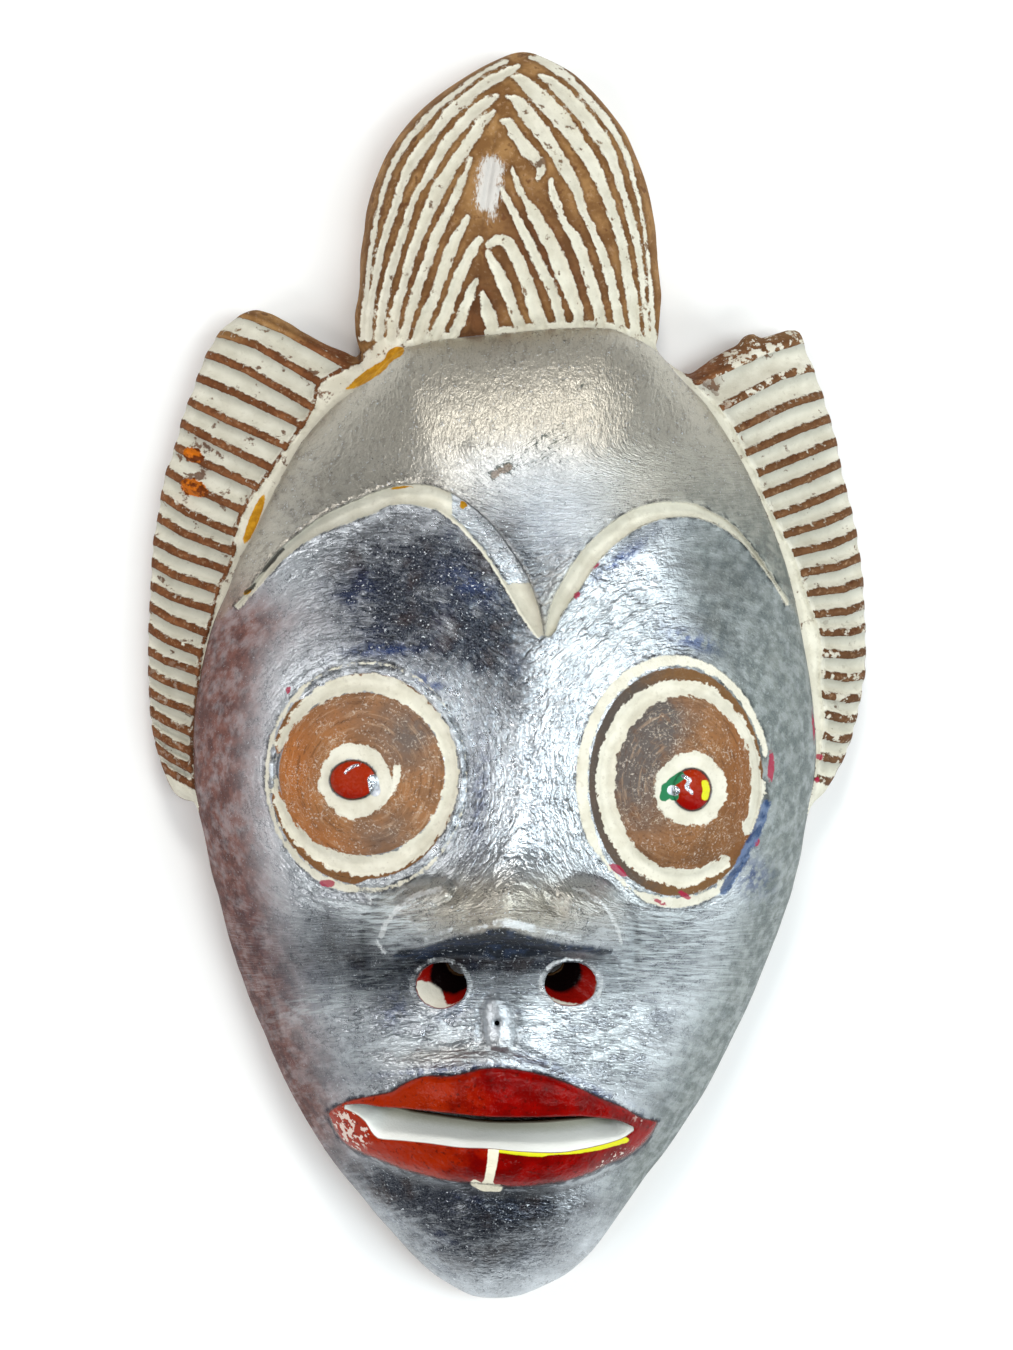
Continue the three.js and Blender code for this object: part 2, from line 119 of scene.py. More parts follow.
def offset(P, d, closed=False):
    """The line moved d units to its right-hand side (clockwise loops: inwards)."""
    P = np.asarray(P, float)
    if closed:
        T = np.roll(P, -1, 0) - np.roll(P, 1, 0)
    else:
        T = np.gradient(P, axis=0)
    T /= np.maximum(np.hypot(T[:, 0], T[:, 1]), 1e-9)[:, None]
    return P + d * np.stack([-T[:, 1], T[:, 0]], -1)


def line_dist(u, v, pts, cap=30.0, closed=False):
    """Distance to a line (at most cap), share of its length, and the side."""
    P = np.asarray(pts, float)
    if closed:
        P = np.vstack([P, P[:1]])
    seg = np.hypot(*(P[1:] - P[:-1]).T)
    L = np.concatenate([[0], np.cumsum(seg)])
    d, t, s = np.full(u.shape, float(cap)), np.zeros(u.shape), np.ones(u.shape)
    idx = np.nonzero((u > P[:, 0].min() - cap) & (u < P[:, 0].max() + cap) & (v > P[:, 1].min() - cap) & (v < P[:, 1].max() + cap))[0]
    if not len(idx):
        return d, t, s
    uu, vv = u[idx], v[idx]
    bd, bt, bs = np.full(len(idx), float(cap)), np.zeros(len(idx)), np.ones(len(idx))
    for i in range(len(P) - 1):
        if seg[i] < 1e-9:
            continue
        a, e = P[i], P[i + 1] - P[i]
        w = np.clip(((uu - a[0]) * e[0] + (vv - a[1]) * e[1]) / (e @ e), 0, 1)
        dx, dy = uu - a[0] - w * e[0], vv - a[1] - w * e[1]
        dd = np.hypot(dx, dy)
        m = dd < bd
        bd[m], bt[m], bs[m] = dd[m], (L[i] + w[m] * seg[i]) / L[-1], np.where(e[0] * dy[m] - e[1] * dx[m] >= 0, 1.0, -1.0)
    d[idx], t[idx], s[idx] = bd, bt, bs
    return d, t, s


def inside(u, v, poly):
    P = np.asarray(poly, float)
    c = np.zeros(u.shape, bool)
    for (x0, y0), (x1, y1) in zip(P, np.roll(P, -1, 0)):
        if y0 == y1:
            continue
        h = (y0 > v) != (y1 > v)
        c ^= h & (u < (x1 - x0) * (v - y0) / (y1 - y0) + x0)
    return c


def sdf(u, v, poly, cap=30.0):
    d = line_dist(u, v, poly, cap, True)[0]
    return np.where(inside(u, v, poly), d, -d)


# ------------------------------------------------------------------ outlines
CHEEK_V = np.arange(814, 1275, 20)
CHEEK_L = [199, 204, 208, 212, 218, 223, 228, 234, 241, 248, 256, 265, 273, 282, 292, 303, 315, 328, 343, 360, 376, 394, 412, 434]
CHEEK_R = [808, 804, 801, 796, 791, 784, 777, 769, 761, 753, 744, 734, 724, 714, 703, 690, 677, 663, 647, 633, 619, 605, 589, 566]
CHIN = [(534, 1290), (516, 1296), (495, 1298), (474, 1296), (460, 1290)]
right_cheek = list(zip(CHEEK_R, CHEEK_V))
left_cheek = list(zip(CHEEK_L, CHEEK_V))[::-1]
FACE_R = [(655, 350), (668, 364), (680, 378), (702, 400), (722, 428), (740, 458), (755, 488), (770, 522), (785, 562), (795, 600), (803, 640), (810, 680), (814, 715), (816, 750), (813, 785), (809, 804)]
FACE_L = [(198, 803), (195, 785), (194, 762), (194, 735), (196, 705), (200, 680), (206, 650), (215, 620), (228, 590), (240, 558), (250, 540), (262, 515), (275, 490), (287, 467), (300, 445), (320, 420), (338, 402), (350, 393), (380, 368), (400, 350)]
FACE_T = [(418, 345), (440, 340), (480, 336), (510, 333), (540, 330), (575, 328), (610, 329), (632, 337)]
FACE = spline(FACE_R + right_cheek + CHIN + left_cheek + FACE_L + FACE_T, 4, True)  # clockwise as drawn

CREST_L = [(360, 352), (356, 334), (355, 314), (359, 294), (360, 274), (361, 254), (364, 234), (366, 214), (371, 194), (378, 174), (387, 154), (400, 134), (417, 114), (440, 94), (470, 74), (490, 63), (511, 54)]
CREST_R = [(535, 54), (555, 63), (574, 74), (595, 94), (612, 114), (626, 134), (635, 154), (643, 174), (649, 194), (653, 214), (656, 234), (657, 254), (659, 274), (661, 294), (660, 314), (658, 334), (656, 347)]
WING_R = [(664, 359), (677, 369), (689, 374), (705, 364), (720, 354), (737, 345), (745, 337), (753, 334), (761, 338), (776, 334), (790, 330), (799, 332), (804, 342), (808, 354), (816, 374), (823, 394), (829, 414), (835, 434), (839, 454), (843, 474), (848, 494), (853, 514), (857, 534), (860, 554), (863, 574), (864, 594), (865, 614), (866, 634), (866, 654), (865, 674), (862, 694), (858, 714), (853, 734), (846, 754), (836, 774), (823, 794), (814, 802)]
WING_L = [(194, 802), (184, 799), (175, 793), (165, 774), (158, 754), (153, 734), (150, 714), (149, 694), (148, 674), (148, 654), (148, 634), (149, 614), (150, 594), (151, 574), (152, 554), (154, 534), (158, 514), (161, 494), (165, 474), (172, 454), (178, 434), (183, 414), (191, 394), (198, 374), (206, 354), (218, 334), (228, 323), (242, 314), (255, 310), (271, 314), (288, 323), (306, 334), (325, 344), (345, 352), (356, 357)]
WHOLE = spline(CREST_L + [(523, 52)] + CREST_R + WING_R + right_cheek + CHIN + left_cheek + WING_L, 4, True)

# Ridges of the flanges: outer end, inner end, from the top down.
RIDGES_L = [((250, 313), (352, 365)), ((222, 333), (320, 382)), ((212, 355), (313, 407)), ((200, 378), (303, 425)), ((191, 402), (287, 446)), ((184, 424), (272, 468)), ((177, 447), (258, 487)), ((169, 472), (243, 510)), ((163, 496), (235, 533)), ((159, 518), (234, 552)), ((154, 540), (228, 570)), ((152, 562), (218, 590)), ((151, 585), (213, 610)), ((150, 606), (207, 633)), ((149, 628), (201, 653)), ((148, 650), (199, 672)), ((149, 671), (197, 692)), ((150, 692), (195, 712)), ((152, 712), (193, 733)), ((155, 732), (192, 752)), ((160, 750), (192, 769)), ((167, 770), (193, 785))]
RIDGES_R = [((800, 337), (692, 381)), ((812, 367), (720, 408)), ((822, 394), (735, 430)), ((830, 418), (745, 453)), ((836, 441), (757, 473)), ((841, 463), (763, 495)), ((847, 486), (774, 516)), ((851, 510), (783, 535)), ((856, 533), (793, 553)), ((860, 557), (800, 573)), ((863, 581), (806, 593)), ((865, 604), (814, 614)), ((866, 627), (820, 632)), ((866, 651), (822, 653)), ((864, 675), (821, 674)), ((861, 697), (822, 694)), ((857, 718), (825, 714)), ((851, 738), (823, 735)), ((843, 758), (820, 756)), ((831, 781), (816, 777))]
BEND = ([0, 1, 4, 8, 14, 21], [-3, -5.5, 0.5, 3.5, 3, 1])


def ridge_line(i, pair):
    (x0, y0), (x1, y1) = pair
    t = np.linspace(-0.12, 1.0, 15)
    b = np.interp(i, *BEND) * np.interp(t, [-0.12, 0, 0.35, 1], [-1.2, 0, 1, 0])
    return np.stack([x0 + (x1 - x0) * t, y0 + (y1 - y0) * t + b], -1)


LINES_L = [ridge_line(i, p) for i, p in enumerate(RIDGES_L)]
LINES_R = [ridge_line(i, p) for i, p in enumerate(RIDGES_R)]
ENDS_L = spline([p[1] for p in RIDGES_L] + [(195, 800)], 3)
ENDS_R = spline([p[1] for p in RIDGES_R] + [(811, 802)], 3)
RIDGE_HALF = 3.7

# Gouge strokes of the crest (u, v, half width), from the edge to the seam.
STROKES = [
    [(506, 61, 2.5), (480, 74, 2.5), (458, 91, 2.5), (435, 110, 3.2), (416, 130, 3.6), (401, 151, 3.2), (390, 171, 3), (381, 200, 2.6), (376, 222, 2.6), (371, 250, 2.6), (367, 285, 2.8), (364, 315, 3.2), (363, 338, 4)],
    [(519, 66, 2), (511, 70, 4.5), (492, 80, 6), (476, 90, 5.5), (465, 100, 6.2), (452, 110, 6.2), (436, 130, 5.2), (420, 150, 6.2), (408, 170, 5.5), (400, 190, 4.4), (394, 210, 4), (387, 230, 4), (381, 250, 4), (377, 270, 3.8), (373, 290, 4), (370, 310, 4), (368, 338, 5)],
    [(496, 96, 3), (489, 100, 5), (476, 110, 6.4), (466, 120, 5.8), (449, 140, 5.8), (436, 160, 5), (428, 176, 4.4), (418, 190, 3.2), (411, 206, 3.6), (404, 230, 4.2), (397, 250, 4.4), (391, 270, 5), (386, 290, 5), (382, 310, 4.6), (379, 338, 5)],
    [(494, 111, 2.5), (485, 120, 4.6), (477, 130, 5.8), (464, 150, 6.2), (450, 170, 6.5), (438, 190, 8), (430, 208, 6.8), (421, 230, 5.4), (413, 250, 5), (407, 270, 4.8), (402, 290, 4.4), (397, 306, 4.8), (391, 338, 6)],
    [(471, 158, 1.8), (466, 170, 2.5), (460, 186, 4.8), (452, 204, 4.6), (444, 220, 5.2), (435, 240, 5.4), (428, 260, 5.2), (420, 280, 5), (414, 300, 5.4), (408, 320, 4.8), (403, 339, 5)],
    [(468, 217, 2.5), (460, 230, 5), (455, 240, 6), (447, 260, 6.2), (440, 280, 5.2), (433, 300, 5.2), (424, 320, 6.6), (418, 339, 6.5)],
    [(479, 240, 3.5), (472, 250, 5.6), (462, 270, 5.8), (454, 290, 5.8), (447, 310, 6.2), (437, 332, 6.2), (435, 338, 6)],
    [(477, 279, 2.4), (472, 290, 4.6), (464, 310, 5.4), (455, 332, 5.8), (453, 337, 5)],
    [(530, 57, 2), (540, 60, 3.6), (556, 69, 4.8), (571, 80, 3.8), (589, 100, 3.8), (606, 120, 4.2), (620, 141, 2.8), (628, 160, 2.8), (634, 181, 2.2), (639, 200, 2.2), (643, 222, 2), (647, 250, 1.8), (650, 280, 2), (652, 310, 2.4), (654, 338, 3)],
    [(540, 76, 2.5), (549, 80, 5), (560, 90, 7), (579, 110, 7.2), (595, 130, 7.6), (608, 150, 6.6), (616, 170, 4.8), (622, 190, 4), (629, 211, 4.2), (634, 230, 4.2), (638, 250, 3.6), (641, 270, 3.2), (643, 290, 2.6), (645, 310, 2.4), (647, 338, 3)],
    [(512, 76, 2), (522, 80, 6), (532, 90, 8), (543, 100, 8.6), (562, 120, 9.6), (576, 140, 7.6), (590, 160, 7.2), (600, 180, 6), (608, 200, 5.8), (615, 220, 5.2), (621, 240, 5.2), (625, 260, 5.2), (628, 280, 5.6), (633, 300, 6), (634, 320, 5.4), (637, 342, 7)],
    [(508, 97, 2), (517, 100, 5.5), (524, 110, 8), (540, 130, 8.6), (554, 150, 6.6), (566, 170, 7.6), (577, 190, 5), (583, 210, 4), (592, 230, 4), (601, 250, 4.8), (608, 270, 5.2), (613, 290, 5.2), (617, 310, 5.2), (621, 331, 6)],
    [(502, 121, 2.5), (508, 122, 4.4), (513, 130, 6), (527, 150, 7), (537, 160, 6.8), (541, 170, 5), (538, 178, 2.5)],
    [(551, 180, 1.8), (552, 190, 4), (556, 202, 4), (563, 220, 3.4), (569, 230, 4.4), (576, 240, 6), (584, 260, 6.2), (590, 280, 6.6), (596, 300, 6.6), (600, 320, 5.8), (600, 328, 5)],
    [(512, 168, 1.8), (520, 190, 3.2), (526, 202, 3.6), (533, 212, 6.6), (543, 230, 7.2), (554, 250, 8), (562, 270, 8.6), (570, 290, 7.8), (577, 310, 6), (580, 324, 5)],
    [(501, 188, 2), (507, 200, 3.8), (517, 220, 4.4), (528, 240, 5.2), (537, 260, 5.2), (547, 280, 5.4), (555, 300, 5.4), (561, 321, 5)],
    [(489, 245, 4.5), (498, 240, 5.5), (506, 242, 6.5), (514, 252, 6.5), (521, 268, 6.8), (529, 288, 7.2), (535, 308, 8), (541, 326, 6.5)],
    [(488, 252, 2.5), (491, 260, 4.6), (498, 270, 6), (506, 290, 6.6), (513, 308, 5.4), (520, 326, 6.5)],
    [(483, 292, 2), (485, 300, 4.6), (487, 310, 7.2), (492, 326, 7)],
]


def stroke_line(s, n=3):
    """Smooth centre line of a stroke and its half width along the length."""
    a = np.asarray(s, float)
    line = spline(a[:, :2], n)
    L = np.concatenate([[0], np.cumsum(np.hypot(*(line[1:] - line[:-1]).T))])
    return line, L / L[-1], np.interp(L, L[::n], a[:, 2])


STROKES = [stroke_line(s) for s in STROKES]

BL_UP = spline([(234, 606), (245, 594), (262, 571), (279, 550), (300, 532), (320, 517), (340, 507), (360, 498), (380, 490), (400, 485), (420, 484), (440, 488), (460, 498), (480, 513), (495, 528), (510, 548), (522, 566), (532, 588), (540, 612), (544, 634)], 4)
BL_LO = spline([(238, 609), (247, 600), (261, 584), (280, 563), (300, 546), (320, 534), (340, 526), (358, 519), (372, 514), (385, 507), (400, 504), (420, 506), (440, 511), (455, 521), (470, 536), (485, 554), (500, 577), (512, 597), (524, 617), (538, 637)], 4)
BR_UP = spline([(545, 634), (549, 611), (555, 595), (562, 582), (571, 566), (582, 551), (595, 537), (612, 522), (628, 512), (645, 505), (662, 502), (680, 502), (696, 504), (712, 512), (728, 521), (742, 534), (755, 551), (768, 570), (780, 588), (790, 604)], 4)
BR_LO = spline([(549, 639), (556, 628), (561, 616), (570, 602), (579, 590), (587, 577), (597, 563), (611, 548), (626, 536), (642, 526), (658, 520), (674, 517), (692, 517), (708, 521), (724, 529), (740, 541), (752, 554), (764, 570), (775, 586), (786, 605)], 4)

# Eyes: nested ellipses from the outside in (centre, radii, height over the field).
EYES = [
    [(366.6, 777, 103.5, 119, 0.0), (366.6, 777, 102, 117.5, -0.45), (366.6, 777, 100.3, 115.5, 0.1), (366.4, 776.2, 97.2, 109.5, 1.0), (365.4, 775.6, 95.6, 104, 1.25), (365.2, 775, 93.6, 101, 0.9), (364.6, 775, 91.6, 97, 0.0), (363, 774.5, 87, 88, -0.2), (362, 774, 83, 82, 0.9), (361, 774.5, 80, 79, 1.9), (358, 777, 58, 58, 3.9), (355, 780.5, 37, 38, 4.6), (355, 780.5, 35, 36, 4.2), (355, 780, 30, 29, 3.9), (353, 780, 24.5, 20.5, 4.1), (353, 780, 22.5, 18.8, 5.0), (353, 780, 18, 15, 5.6), (353, 780, 6, 5, 6.0)],
    [(673.5, 781.5, 98.5, 127.5, 0.0), (673.5, 781.5, 97, 126, -0.5), (673.8, 781.5, 95.2, 124, 0.1), (676, 781.8, 87.3, 114.5, 0.9), (677, 782.5, 84.8, 109.5, 1.2), (678.6, 783.2, 82.6, 103.8, 0.9), (679.6, 783.4, 80, 100, 0.0), (681.4, 783.5, 73, 91.5, -0.2), (682.8, 783.6, 68, 87.4, 0.9), (683.2, 784, 65.4, 84.4, 1.9), (686, 787, 52, 61, 3.9), (691, 789.5, 37.5, 37.5, 4.6), (691, 789.5, 35.5, 35.5, 4.2), (692, 790, 29, 28, 3.9), (692, 789.6, 19.5, 21.5, 4.1), (692, 789.6, 18, 20, 5.0), (692, 789.6, 13, 15, 5.6), (692, 789.6, 5, 5, 6.0)],
]


def ellipse(e, n, grow=0.0):
    t = np.linspace(0, 2 * np.pi, n, endpoint=False)
    return np.stack([e[0] + (e[2] + grow) * np.cos(t), e[1] + (e[3] + grow) * np.sin(t)], -1)


def ell_sd(u, v, e):
    g = np.hypot((u - e[0]) / e[2], (v - e[1]) / e[3])
    return (1 - g) * math.sqrt(e[2] * e[3])


# Mouth and nose lines.
LIP_T = spline([(328, 1112), (345, 1102), (365, 1097), (390, 1092), (405, 1083), (425, 1076), (450, 1076), (465, 1073), (480, 1069), (500, 1068), (520, 1070), (540, 1074), (560, 1080), (575, 1086), (590, 1093), (605, 1100), (625, 1108), (642, 1118), (657, 1121)], 4)
LIP_B = spline([(328, 1115), (338, 1135), (350, 1147), (362, 1153), (380, 1160), (400, 1168), (420, 1174), (440, 1179), (460, 1182), (485, 1184), (505, 1186), (525, 1186), (545, 1184), (565, 1181), (590, 1173), (608, 1164), (625, 1157), (640, 1147), (650, 1136), (657, 1124)], 4)
SLOT_T = spline([(344, 1105), (362, 1104), (380, 1107), (400, 1108), (420, 1110), (450, 1113), (480, 1116), (500, 1117), (540, 1117), (580, 1116), (602, 1118), (620, 1121), (634, 1127)], 4)
SLOT_B = spline([(344, 1109), (355, 1114), (365, 1122), (371, 1132), (378, 1139), (400, 1141), (430, 1144), (460, 1148), (490, 1149), (520, 1152), (560, 1153), (590, 1148), (610, 1143), (624, 1138), (634, 1131)], 4)
NOSTRILS = [((441, 986, 26, 23.5), (466, 952)), ((571, 984.5, 26.5, 22.5), (546, 952))]


def at_u(line, u):
    o = np.argsort(line[:, 0], kind="stable")
    return np.interp(u, line[o, 0], line[o, 1])


def nose_front(u):
    return np.interp(u, [372, 385, 400, 410, 425, 440, 470, 500, 520, 545, 575, 600, 612, 622], [966, 959, 953, 949, 944, 940, 935, 932, 934, 941, 946, 947, 949, 956])


def muzzle_top(u):
    return np.interp(u, [320, 340, 360, 380, 410, 450, 480, 500, 520, 540, 580, 620, 640, 665], [1074, 1062, 1050, 1042, 1041, 1047, 1047, 1045, 1049, 1058, 1078, 1097, 1109, 1124])


# ------------------------------------------------------------------ heights
_th = np.linspace(-np.pi, np.pi, 1441)
_fa = np.arctan2(CV - FACE[:, 1], FACE[:, 0] - CU)
_o = np.argsort(_fa)
_R = np.interp(_th, _fa[_o], np.hypot(FACE[_o, 0] - CU, FACE[_o, 1] - CV), period=2 * np.pi)


_g = np.exp(-((np.arange(-90, 91) / 44.0) ** 2))
_Rs = np.convolve(np.concatenate([_R[-91:-1], _R, _R[1:91]]), _g / _g.sum(), "valid")


def reach(th):
    return np.interp(th, _th, _R)


def edge_height(th):
    v = CV - reach(th) * np.sin(th)
    return mix(mix(38, 31, sm(330, 430, v)), mix(24, 13, sm(780, 1000, v)), sm(430, 830, v))


def polar(u, v):
    th = np.arctan2(CV - v, u - CU)
    r = np.hypot(u - CU, v - CV)
    q = r / reach(th)
    k = np.maximum(sm(0.45, 0.97, q), sm(-40, 90, v - CV))
    return mix(r / np.interp(th, _th, _Rs), q, k), th


def dome(u, v):
    rho, th = polar(u, v)
    ze = edge_height(th)
    p = 1.8 + 0.8 * np.sin(th) ** 2
    return ze + (CROWN_Z - ze) * (1 - np.clip(rho, 0, 1) ** p) ** 0.6


def nose(u, v):
    f = nose_front(np.clip(u, 372, 622))
    vv = np.minimum(v, f)
    mid = 545 - 45 * (vv - 640) / 295
    # soft bridge between the eye planes
    half = np.interp(vv, [640, 700, 780, 860, 935], [30, 42, 54, 58, 64])
    high = np.interp(vv, [625, 660, 720, 790, 850, 890, 915, 935], [0, 1.0, 2.5, 4.4, 7.6, 12.8, 15.8, 17.2])
    ridge = high * np.exp(-np.abs((u - mid) / half) ** 2.2)
    # two wings and the lobe between them
    def lobe(cu, cv, ru, rv, hh, pw=0.8, e=2.1):
        return hh * np.clip(1 - np.abs((u - cu) / ru) ** e - np.abs((vv - cv) / rv) ** e, 0, 1) ** pw
    left = np.maximum(lobe(428, 948, 66, 74, 11.4), lobe(452, 926, 54, 54, 12.0))
    right = lobe(574, 944, 62, 74, 12.4)
    mid_ = lobe(505, 934, 76, 80, 16.2, 1.0)
    wide = lobe(500, 952, 142, 74, 7.6, 1.5)
    h = (ridge**4 + left**5 + right**5 + mid_**5 + wide**4 + 1e-9) ** 0.2
    h = np.maximum(h, (ridge**5 + np.maximum(left, right) ** 5) ** 0.2)
    h = h + 1.3 * np.exp(-(((u - 505) / 20) ** 2 + ((vv - 893) / 15) ** 2))
    h = h + 1.1 * np.exp(-((line_dist(u, vv, [(396, 912), (416, 897), (440, 890)], 40)[0] / 9) ** 2)) + 1.0 * np.exp(-((line_dist(u, vv, [(566, 894), (590, 902), (606, 920)], 40)[0] / 9) ** 2))
    h = h - 0.8 * np.exp(-(((u - 470) / 9) ** 2 + ((vv - 915) / 17) ** 2)) - 0.7 * np.exp(-(((u - 540) / 9) ** 2 + ((vv - 916) / 17) ** 2))
    # creases at the roots of the wings
    for pts_, dep in (([(452, 878), (458, 886), (452, 899), (436, 906)], 1.3), ([(547, 884), (544, 896), (551, 908), (562, 914)], 0.7)):
        d = line_dist(u, v, pts_, 14)[0]
        h = h - dep * np.exp(-((d / 3.6) ** 2))
    h = h * (1 - 0.05 * sm(-24, 4, v - f))
    return h * (1 - sm(0.5, 15, v - f) * (1 - 0.06 * (1 - sm(14, 40, v - f))))


def mouth(u, v):
    k = np.clip(1 - ((u - 492) / 172) ** 2, 0, 1)
    t, b = at_u(LIP_T, u), at_u(LIP_B, u)
    mt = muzzle_top(u)
    muz = 4.0 * np.sqrt(k) * (0.50 * sm(mt - 9, mt + 3, v) + 0.50 * sm(mt - 40, mt + 6, v)) * (1 - sm(b - 1, b + 9, v))
    # the muzzle dishes slightly between its upper edge and the lip
    dish = -0.9 * k * sm(mt + 2, mt + 9, v) * (1 - sm(t - 7, t - 1, v))
    q = np.clip((2 * v - t - b) / np.maximum(b - t, 1), -1, 1)
    on = (u > 328) & (u < 657)
    lip = np.where(on, 3.4 * k**0.4 * np.clip(1 - np.abs(q) ** 7, 0, 1) ** 0.65, 0)
    dip = -1.8 * k * sm(b - 2, b + 7, v) * (1 - sm(b + 9, b + 46, v))
    roll = 0.8 * k * sm(b + 16, b + 34, v) * (1 - sm(b + 34, b + 62, v))
    return muz + lip + dip + dish + roll


def eyes(u, v):
    h = np.zeros(u.shape)
    for rings in EYES:
        g = [np.hypot((u - e[0]) / e[2], (v - e[1]) / e[3]) for e in rings]
        for i in range(len(rings)):
            a = rings[i]
            ra = math.sqrt(a[2] * a[3])
            if i + 1 < len(rings):
                b = rings[i + 1]
                rb = math.sqrt(b[2] * b[3])
                m = (g[i] <= 1) & (g[i + 1] > 1)
                x, y = (1 - g[i][m]) * ra, (g[i + 1][m] - 1) * rb
                f = x / np.maximum(x + y, 1e-6)
                h[m] = mix(a[4], b[4], f)
            else:
                h[g[i] <= 1] = a[4]
    return h


def brows(u, v):
    """Step of the forehead, groove, and the signed band distance."""
    band = np.maximum(sdf(u, v, np.vstack([BL_UP, BL_LO[::-1]])), sdf(u, v, np.vstack([BR_UP, BR_LO[::-1]])))
    up = np.vstack([[(222, 620)], BL_UP, BR_UP, [(800, 620)]])
    d, _, _ = line_dist(u, v, up, 200)
    top = np.interp(u, up[:, 0], up[:, 1])
    above = inside(u, v, np.vstack([up, [(900, 620), (900, 200), (100, 200), (100, 620)]]))
    rho, _ = polar(u, v)
    step = np.where(above, 2.4 * np.exp(-d / 46.0) * (1 - np.clip(rho, 0, 1) ** 14), 0)
    low = np.minimum(line_dist(u, v, BL_LO, 12)[0], line_dist(u, v, BR_LO, 12)[0])
    lip = np.where(~above & (band < 0), 0.45 * np.exp(-((low / 3.0) ** 2)), 0)
    groove = np.where(band > 0, -1.1 * np.clip(band / 1.6, 0, 1) ** 0.5, 0)
    return step + lip + groove, band, above


def across(u, v):
    """Field whose level lines the tool and the brush followed over the face."""
    rl = np.hypot((u - 364) / 1.0, (v - 777) / 1.08)
    rr = np.hypot((u - 680) / 0.95, (v - 784) / 1.15)
    e = 26.0 * -np.log(np.exp(-rl / 26.0) + np.exp(-rr / 26.0) + 1e-12)
    fore = 420 + 0.9 * (u - 530) + 0.05 * (v - 450)
    low = 420 + (v - 900) * 1.0 - 0.0006 * (u - 500) ** 2
    top = 1 - sm(440, 560, v + 0.0022 * np.abs(u - 540) ** 2 * 0.2)
    return mix(mix(e, low, sm(900, 1010, v)), fore, top)


def face_height(u, v):
    b, band, above = brows(u, v)
    z = dome(u, v) + b + eyes(u, v) + nose(u, v) + mouth(u, v)
    # philtrum tongue with its nail hole
    d = line_dist(u, v, [(497, 1012), (498, 1024), (500, 1034)], 30)[0]
    z = z + 2.1 * np.sqrt(np.clip(1 - (d / 15.5) ** 2, 0, 1)) - 0.35 * np.exp(-(((d - 17) / 3) ** 2))
    z = z + 0.8 * np.exp(-(((v - 1018 - 0.1 * (u - 516)) / 3.0) ** 2)) * sm(508, 518, u) * (1 - sm(540, 552, u))
    r = np.hypot(u - 497, v - 1023)
    z = z - 2.2 * (1 - sm(1.6, 3.4, r)) + 0.25 * np.exp(-(((r - 7) / 2.5) ** 2))
    # small round swelling on the forehead, raised rims round the nostrils
    z = z + 0.7 * np.exp(-(np.hypot(u - 470, v - 450) / 7) ** 2)
    for (cu, cv, ru, rv), _ in NOSTRILS:
        g = (np.hypot((u - cu) / ru, (v - cv) / rv) - 1) * 24
        z = z + 0.9 * np.exp(-((np.clip(g, 0, 99) / 4.5) ** 2)) * sm(-14, 10, v - cv)
    # hand-carved unevenness
    x, y = (u - U0) * K, (V0 - v) * K
    a = across(u, v) * K
    rough = 0.30 * noise2(x / 15, y / 15, 3) + 0.17 * noise2(x / 6, a / 4.2, 4) + 0.11 * noise2(x / 4, a / 1.9, 5) + 0.06 * noise2(y / 3.5 + 9, a / 1.5, 6)
    rho, _ = polar(u, v)
    rough = rough * np.where(above, 1 - 0.8 * sm(2, 16, np.abs(line_dist(u, v, np.vstack([BL_UP, BR_UP]), 30)[0])), 1)
    return z + rough * (1 - np.clip(rho, 0, 1) ** 10), band, above


def crest_base(u, v):
    m = 520 - 50 * np.clip((v - 52) / 280, 0, 1.2) ** 0.6
    el = np.interp(v, [p[1] for p in CREST_L[::-1]], [p[0] for p in CREST_L[::-1]])
    er = np.interp(v, [p[1] for p in CREST_R], [p[0] for p in CREST_R])
    el, er = np.minimum(el, m - 1), np.maximum(er, m + 1)
    q = np.clip(np.where(u < m, (m - u) / (m - el), (u - m) / (er - m)), 0, 1)
    low = mix(15, 20, np.clip((v - 52) / 286, 0, 1))
    top = 15 + 28 * (1 - np.clip((332 - v) / 280, 0, 1) ** 2.2) ** 0.6 - 8 * sm(255, 345, v)
    return low + np.maximum(0, top - low) * (1 - q**2.3) ** 0.55, u - m


def crest_height(u, v):
    z, off = crest_base(u, v)
    paint = np.full(u.shape, -20.0)
    cut = np.zeros(u.shape)
    for s, at, half in STROKES:
        d, t, _ = line_dist(u, v, s, 14)
        w = np.interp(t, at, half) * 0.94 - 0.1
        paint = np.maximum(paint, w - d)
        cut = np.maximum(cut, 0.24 * w * np.clip(1 - (d / w) ** 2, 0, 1) ** 0.7)
    # filler smeared along the foot
    foot = 6.5 - line_dist(u, v, FACE, 12, True)[0]
    foot = np.where((u > 484) | (u < 457), foot, -9)
    d = line_dist(u, v, FACE, 30, True)[0]
    foot = np.maximum(foot, np.where((u < 404) | (u > 616), np.minimum(21 - d, v - 337), -9))
    paint = np.maximum(paint, foot)
    z = z - cut
    z = z - 0.5 * np.exp(-((off / 3.0) ** 2)) * sm(60, 90, v)  # scored seam
    x, y = (u - U0) * K, (V0 - v) * K
    return z + 0.10 * noise2(x / 3, y / 3, 11) + 0.22 * noise2(x / 12, y / 12, 12), paint


